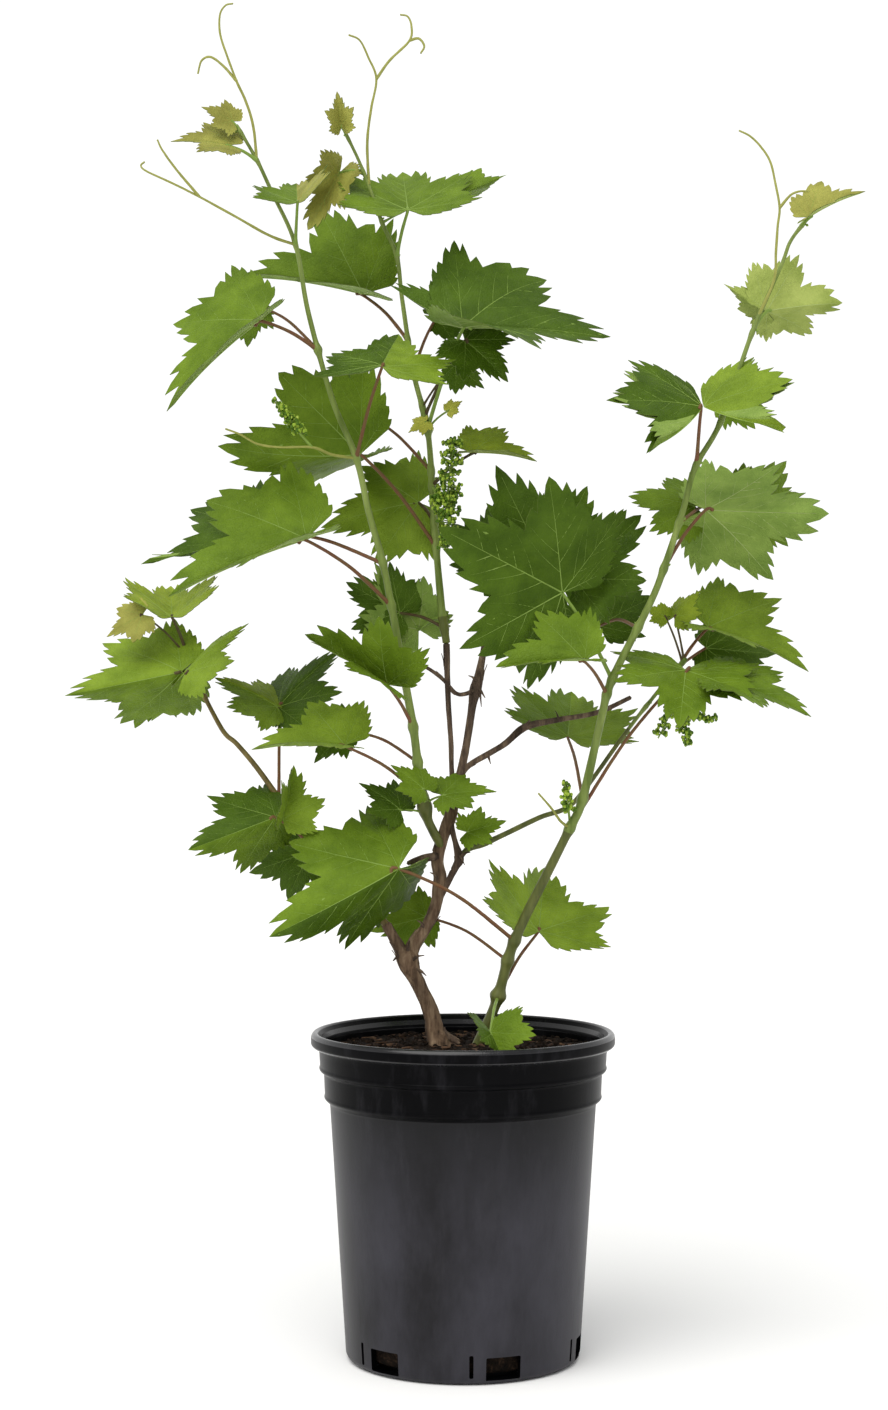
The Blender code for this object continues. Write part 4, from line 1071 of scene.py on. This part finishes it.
def ball():
    """A small round body as points and faces."""
    bm = bmesh.new()
    bmesh.ops.create_icosphere(bm, subdivisions=2, radius=1)
    points = np.array([vert.co[:] for vert in bm.verts])
    faces = np.array([[vert.index for vert in face.verts] for face in bm.faces])
    bm.free()
    return points, faces


def make_flowers():
    """Clusters of unopened flower buds in small groups on short stalks."""
    form = Form()
    points, faces = ball()
    for stalk, groups, spread in CLUSTERS:
        route = seen(even(curve(stalk), 1.0))
        tube(form, route, np.linspace(0.75, 0.45, len(route)), 8, "stalk_green")
        first = int(len(route) * FIRST_GROUP)
        for group in range(groups):
            share = group / groups
            place = route[first + int(share * (len(route) - first - 1))]
            turn = group * GROUP_TURN
            reach = spread * (1 - 0.5 * share) * rng.uniform(0.25, 1.0)
            off = np.array((math.cos(turn), math.sin(turn), rng.uniform(-0.4, 0.6))) * reach
            middle = place + off
            twig = np.array([place, place + off * 0.55 + np.array((0, 0, -0.4)), middle])
            tube(form, twig, np.array((0.4, 0.34, 0.3)), 5, "stalk_green")
            for bud in range(BUDS):
                step = np.array([rng.uniform(-1, 1) for _ in range(3)])
                centre = middle + step / np.linalg.norm(step) * BUD_RADIUS * 1.5
                stretch = np.array((1, 1, 1.2)) * BUD_RADIUS * rng.uniform(0.75, 1.15)
                form.add(centre + points * stretch, (faces, "bud_light" if bud > 2 else "flower"))
    nodes = ("leaves_middle", "leaves_left_high", "leaves_right_low", "leaves_side")
    form.piece("flower_clusters", "foliage", nodes, 180)


def add_peel(form, route, radii, at, turn, length, width, lift):
    """A strip of bark that has come away from the limb and lifts at its upper end."""
    along, across, up = frames(route)
    marks = np.clip(np.linspace(at, at + length, PEEL_STEPS), 0, len(route) - 1)
    low = np.floor(marks).astype(int)
    share = np.linspace(0, 1, PEEL_STEPS)[:, None]
    out = across[low] * math.cos(turn) + up[low] * math.sin(turn)
    side = np.cross(along[low], out)
    spine = route[low] + out * (radii[low][:, None] * 1.02 + lift * share ** 2)
    wide = side * width * (1.05 - share) * 0.5
    thin = out * PEEL_THICKNESS
    corners = (spine - wide - thin, spine + wide - thin, spine + wide * 0.8 + thin, spine - wide * 0.8 + thin)
    last = (PEEL_STEPS - 1) * 4
    ends = (3, 2, 1, 0), (last, last + 1, last + 2, last + 3)
    sides = ring_faces(PEEL_STEPS, 4)
    form.add(np.stack(corners, 1).reshape(-1, 3), (sides, "bark_dark"), (ends, "bark_dark"))


def make_wood():
    """Trunk, old arms and dead twigs with the relief of shredding bark."""
    for number, (name, points) in enumerate(WOOD.items()):
        rows = even(curve(points), 0.8)
        route = seen(rows[:, :3])
        radii = rows[:, 3]
        thick = name in ("trunk", "trunk_stub", "old_arm")
        look, sides, depth, peels = ("bark", 40, 1.0, 7) if thick else ("bark_dark", 18, 0.6, 3)
        length = lengths_along(route)[:, None]
        around = np.arange(sides)[None, :]
        waves = [
            rumple(around * columns / sides, length / pitch, columns, number + seed)
            for columns, pitch, seed, _ in BARK_WAVES
        ]
        relief = sum(share * wave for (*_, share), wave in zip(BARK_WAVES, waves))
        relief = depth * (relief - CRACK_DEPTH * (np.abs(waves[0]) < CRACK_WIDTH))
        form = Form()
        tube(form, route, radii, sides, look, relief)
        dice = random.Random(number)
        for _ in range(peels):
            at = dice.uniform(2, len(route) - 8)
            add_peel(form, route, radii, at, dice.uniform(0, FULL_TURN), dice.uniform(5, 12),
                     dice.uniform(0.5, 1.0) * radii[int(at)] * 0.7, dice.uniform(0.3, 1.6))
        node = "trunk" if name == "trunk_side_root" else name
        form.piece(name + "_bark", "bark", (node,), 70)


def make_snags():
    """Short snags of dead bark on the trunk and the old arms."""
    form = Form()
    around = np.arange(SNAG_SIDES)[None, :]
    for number, (foot, tip, radius) in enumerate(SNAGS):
        foot, tip = (np.array((x, depth, z), float) for x, z, depth in (foot, tip))
        bend = (foot + tip) / 2 + np.array((0, -0.8, 0.9))
        route = seen(even(smooth((foot, bend, tip), 8), 0.6))
        radii = radius * np.linspace(1.3, 0.25, len(route))
        relief = 0.16 * rumple(around, np.arange(len(route))[:, None] * 0.5, SNAG_SIDES, number)
        tube(form, route, radii, SNAG_SIDES, "bark_dark", relief)
    form.piece("dead_snags", "bark", ("trunk", "old_arm", "old_strand", "old_stem_right", "dry_lateral"), 70)


def rings_of(profile, steps):
    """Rings of points about the z axis, one for each radius and height of the profile."""
    angles = np.arange(steps) * 2 * math.pi / steps
    return np.vstack([
        np.stack((np.cos(angles) * radius, np.sin(angles) * radius, np.full(steps, height)), 1)
        for radius, height in profile
    ])


def rounded(corners, radius):
    """A profile with its inner corners rounded off."""
    points = [np.array(corner, float) for corner in corners]
    made = [points[0]]
    for before, corner, after in zip(points, points[1:], points[2:]):
        back = before - corner
        ahead = after - corner
        reach = min(radius, np.linalg.norm(back) * 0.45, np.linalg.norm(ahead) * 0.45)
        start = corner + back / np.linalg.norm(back) * reach
        end = corner + ahead / np.linalg.norm(ahead) * reach
        for t in (0, 0.25, 0.5, 0.75, 1):
            made.append((1 - t) ** 2 * start + 2 * t * (1 - t) * corner + t ** 2 * end)
    return made + [points[-1]]


def pot_finish(low):
    """The finish of the pot's skin above a height: the bands and the lip's face get the pot plastic painted
    near-black as shade.
    """
    if low > POT_HEIGHT - 2.4 or LIP_FOOT - 0.5 < low < LIP_FOOT + 0.9:
        return "pot_lip"
    return "pot_band" if low > BAND_2_FOOT - 3 else "pot_wall"


def make_pot():
    """The pot: rolled rim, two stepped bands with a fine bead under each, and drainage notches."""
    outside = rounded((
        (RIM_INNER, POT_HEIGHT - 3), (RIM_RADIUS - 3.4, POT_HEIGHT - 0.2), (RIM_RADIUS - 1.6, POT_HEIGHT),
        (RIM_RADIUS, POT_HEIGHT - 1.8), (RIM_RADIUS, LIP_FOOT + 1.5), (RIM_RADIUS - 1.4, LIP_FOOT),
        (BAND_1_RADIUS + 1.0, LIP_FOOT - 0.2), (BAND_1_RADIUS + 0.4, LIP_FOOT - 3),
        (BAND_1_RADIUS, BAND_1_FOOT + 2.2), (BAND_1_RADIUS + 0.5, BAND_1_FOOT + 1.2),
        (BAND_1_RADIUS + 0.1, BAND_1_FOOT), (BAND_2_RADIUS + 0.5, BAND_1_FOOT - 1.4),
        (BAND_2_RADIUS, BAND_2_FOOT + 2.2), (BAND_2_RADIUS + 0.4, BAND_2_FOOT + 1.0),
        (BAND_2_RADIUS - 0.1, BAND_2_FOOT), (BODY_TOP_RADIUS, BAND_2_FOOT - 2.4),
        (FOOT_RADIUS + 0.5, 2.4), (FOOT_RADIUS - 1.5, 0), (POT_HUB, 0),
    ), 1.4)
    inside = rounded((
        (POT_HUB, FLOOR), (FOOT_RADIUS - WALL - 1, FLOOR), (BODY_TOP_RADIUS - WALL, BAND_2_FOOT + 0.6),
        (BAND_2_RADIUS - WALL, BAND_2_FOOT + 1.6), (BAND_2_RADIUS - WALL + 0.5, BAND_1_FOOT + 0.6),
        (BAND_1_RADIUS - WALL, BAND_1_FOOT + 1.6), (BAND_1_RADIUS - WALL + 0.6, LIP_FOOT + 1.5),
        (RIM_INNER, POT_HEIGHT - 3),
    ), 1.0)
    profile = outside + inside[:-1]
    finishes = [pot_finish(min(low, high)) for (_, low), (_, high) in zip(profile, profile[1:])]
    last = (len(profile) - 1) * POT_STEPS
    steps = np.arange(POT_STEPS)
    after = (steps + 1) % POT_STEPS
    form = Form()
    form.add(
        rings_of(profile, POT_STEPS),
        (ring_faces(len(profile), POT_STEPS)[:, ::-1], np.repeat(finishes, POT_STEPS)),
        (np.stack((after, steps, steps + last, after + last), 1), "pot_lip"),
    )
    pot = form.piece("nursery_pot", "pot_plastic", ("pot",), 38)
    for number in range(NOTCHES):
        turn = NOTCH_FIRST + number * 360 / NOTCHES
        cut_notch(pot, turn, NOTCH_WIDTH, NOTCH_LOW, NOTCH_TOP)
        cut_notch(pot, turn + SLIT_TURN, SLIT_WIDTH, NOTCH_LOW + 1.5, NOTCH_TOP + 1.5)


def cut_notch(pot, turn, width, low, top):
    """Cut a rectangular notch with eased corners through the foot of the wall."""
    bm = bmesh.new()
    bmesh.ops.create_cube(bm, size=1)
    bmesh.ops.scale(bm, verts=bm.verts, vec=Vector((CUT_REACH * MM, width * MM, (top - low) * MM)))
    edges = [edge for edge in bm.edges if abs((edge.verts[0].co - edge.verts[1].co).normalized().x) > 0.9]
    bmesh.ops.bevel(bm, geom=edges, offset=NOTCH_CORNER * MM, segments=3, profile=0.5, affect="EDGES")
    cutter = linked("notch", mesh_of("notch", bm))
    angle = math.radians(turn)
    middle = (FOOT_RADIUS + 3 - CUT_REACH / 2) * MM
    cutter.rotation_euler = (0, 0, angle)
    cutter.location = (middle * math.cos(angle), middle * math.sin(angle), (low + top) / 2 * MM)
    cut = pot.modifiers.new("notch", "BOOLEAN")
    cut.operation = "DIFFERENCE"
    cut.object = cutter
    bpy.context.view_layer.update()
    mesh = bpy.data.meshes.new_from_object(pot.evaluated_get(bpy.context.evaluated_depsgraph_get()))
    pot.modifiers.clear()
    pot.data = mesh
    bpy.data.objects.remove(cutter, do_unlink=True)


def soil_fall(radius):
    """How far the soil's surface lies below its crown at a radius."""
    return np.clip((radius - SOIL_CROWN_RADIUS) / (SOIL_RADIUS - SOIL_CROWN_RADIUS), 0, 1) * SOIL_FALL


def spun(angle, first, second):
    """The matrix that turns places in the plane of two axes."""
    matrix = np.eye(3)
    matrix[first, first] = matrix[second, second] = math.cos(angle)
    matrix[second, first] = math.sin(angle)
    matrix[first, second] = -math.sin(angle)
    return matrix


def make_soil():
    """The soil: a crumbly surface with bark chips and bits standing out of it, closed below."""
    form = Form()
    angles = np.arange(SOIL_STEPS) * 2 * math.pi / SOIL_STEPS
    radii = np.linspace(SOIL_HUB, SOIL_RADIUS, SOIL_RINGS)[:, None]
    x = radii * np.cos(angles)
    y = radii * np.sin(angles)
    bumps = np.array([
        [noise.fractal(Vector((u, v, 3)), 0.6, 2.1, 5) for u, v in zip(*row)]
        for row in zip(x * SOIL_GRAIN, y * SOIL_GRAIN)
    ])
    z = SOIL_TOP - 0.6 - soil_fall(radii) + bumps * SOIL_BUMP
    below = rings_of((
        (SOIL_RADIUS - 0.4, BAND_1_FOOT + 2), (BAND_2_RADIUS - 2.8, BAND_1_FOOT),
        (BAND_2_RADIUS - 3.2, BAND_2_FOOT + 2), (BODY_TOP_RADIUS - 3, BAND_2_FOOT),
        (FOOT_RADIUS - 4, FLOOR + 2), (FOOT_RADIUS - 6, FLOOR + 0.4), (SOIL_HUB, FLOOR + 0.4),
    ), SOIL_STEPS)
    points = np.vstack((np.stack((x, y, z), -1).reshape(-1, 3), below))
    count = len(points) // SOIL_STEPS
    first = np.arange(SOIL_STEPS)
    ends = first, (first + (count - 1) * SOIL_STEPS)[::-1]
    form.add(points, (ring_faces(count, SOIL_STEPS)[:, ::-1], "soil"), (ends, "soil"))

    points, faces = ball()
    dice = random.Random(5)
    for number in range(SOIL_BITS):
        radius = math.sqrt(dice.random()) * (SOIL_RADIUS - 3)
        turn = dice.uniform(0, FULL_TURN)
        chip = number % 4 == 0
        size = dice.uniform(1.0, 2.8) if chip else dice.uniform(0.5, 1.7)
        if chip:
            shape = np.array((dice.uniform(1, 2.2), dice.uniform(0.5, 0.8), 0.32))
        else:
            shape = np.array([dice.uniform(0.7, 1.2) for _ in range(3)])
        lumps = 1 + 0.28 * np.sin(points @ np.array([dice.uniform(-4, 4) for _ in range(3)]) + turn)
        about_z = spun(dice.uniform(0, FULL_TURN), 0, 1)
        about_x = spun(dice.uniform(-0.4, 0.4), 1, 2)
        body = points * lumps[:, None] * shape * size @ about_x.T @ about_z.T
        height = SOIL_TOP - 0.2 - soil_fall(radius)
        place = np.array((radius * math.cos(turn), radius * math.sin(turn), height))
        form.add(body + place, (faces, "chip" if chip else "soil"))
    form.piece("potting_soil", "soil", ("soil",), 60)


def make_stage():
    """A plain white floor, soft light from the upper left, and the camera."""
    scene = bpy.context.scene
    bm = bmesh.new()
    bmesh.ops.create_circle(bm, cap_ends=True, segments=96, radius=GROUND_RADIUS)
    floor = linked("floor", mesh_of("floor", bm))
    floor.location = (0, 0, -0.0005)
    look = Look("floor_white", 0.8, 0.1)
    look.colour(look.mix(look.cloud(3), shade("F2F2F2"), shade("F7F7F7")))
    floor.data.materials.append(look.material)

    world = bpy.data.worlds.new("studio")
    world.use_nodes = True
    sky = Net(world.node_tree)
    back = world.node_tree.nodes["Background"]
    back.inputs["Color"].default_value = (1, 1, 1, 1)
    way = sky.node("ShaderNodeTexCoord", {}, {})
    depth, height = (sky.node("ShaderNodeSeparateXYZ", {}, {0: way}, axis) for axis in (1, 2))
    front = sky.between(0.0 - depth, 0.1, 0.8)
    sky.feed(back.inputs["Strength"], (1.08 - 0.5 * sky.between(height, 0.3, 0.7)) * (1.0 - 0.3 * front))
    scene.world = world

    sun = bpy.data.lights.new("key", "SUN")
    sun.angle = math.radians(SUN_SPREAD)
    sun.energy = SUN_STRENGTH
    sun.color = SUN_COLOUR
    light = linked("key", sun)
    light.location = SUN_PLACE
    light.rotation_euler = (-Vector(SUN_PLACE)).to_track_quat("-Z", "Y").to_euler()
    scene.view_settings.view_transform = "Standard"

    lens = bpy.data.cameras.new("camera")
    lens.lens = LENS
    lens.sensor_width = SENSOR
    camera = linked("camera", lens)
    camera.location = Vector((CAMERA_X, EYE[1], EYE[2])) * MM
    camera.rotation_euler = (math.pi / 2, 0, 0)
    scene.camera = camera


make_pot()
make_soil()
make_wood()
make_snags()
make_leaves()
make_tendrils()
make_flowers()
make_stage()
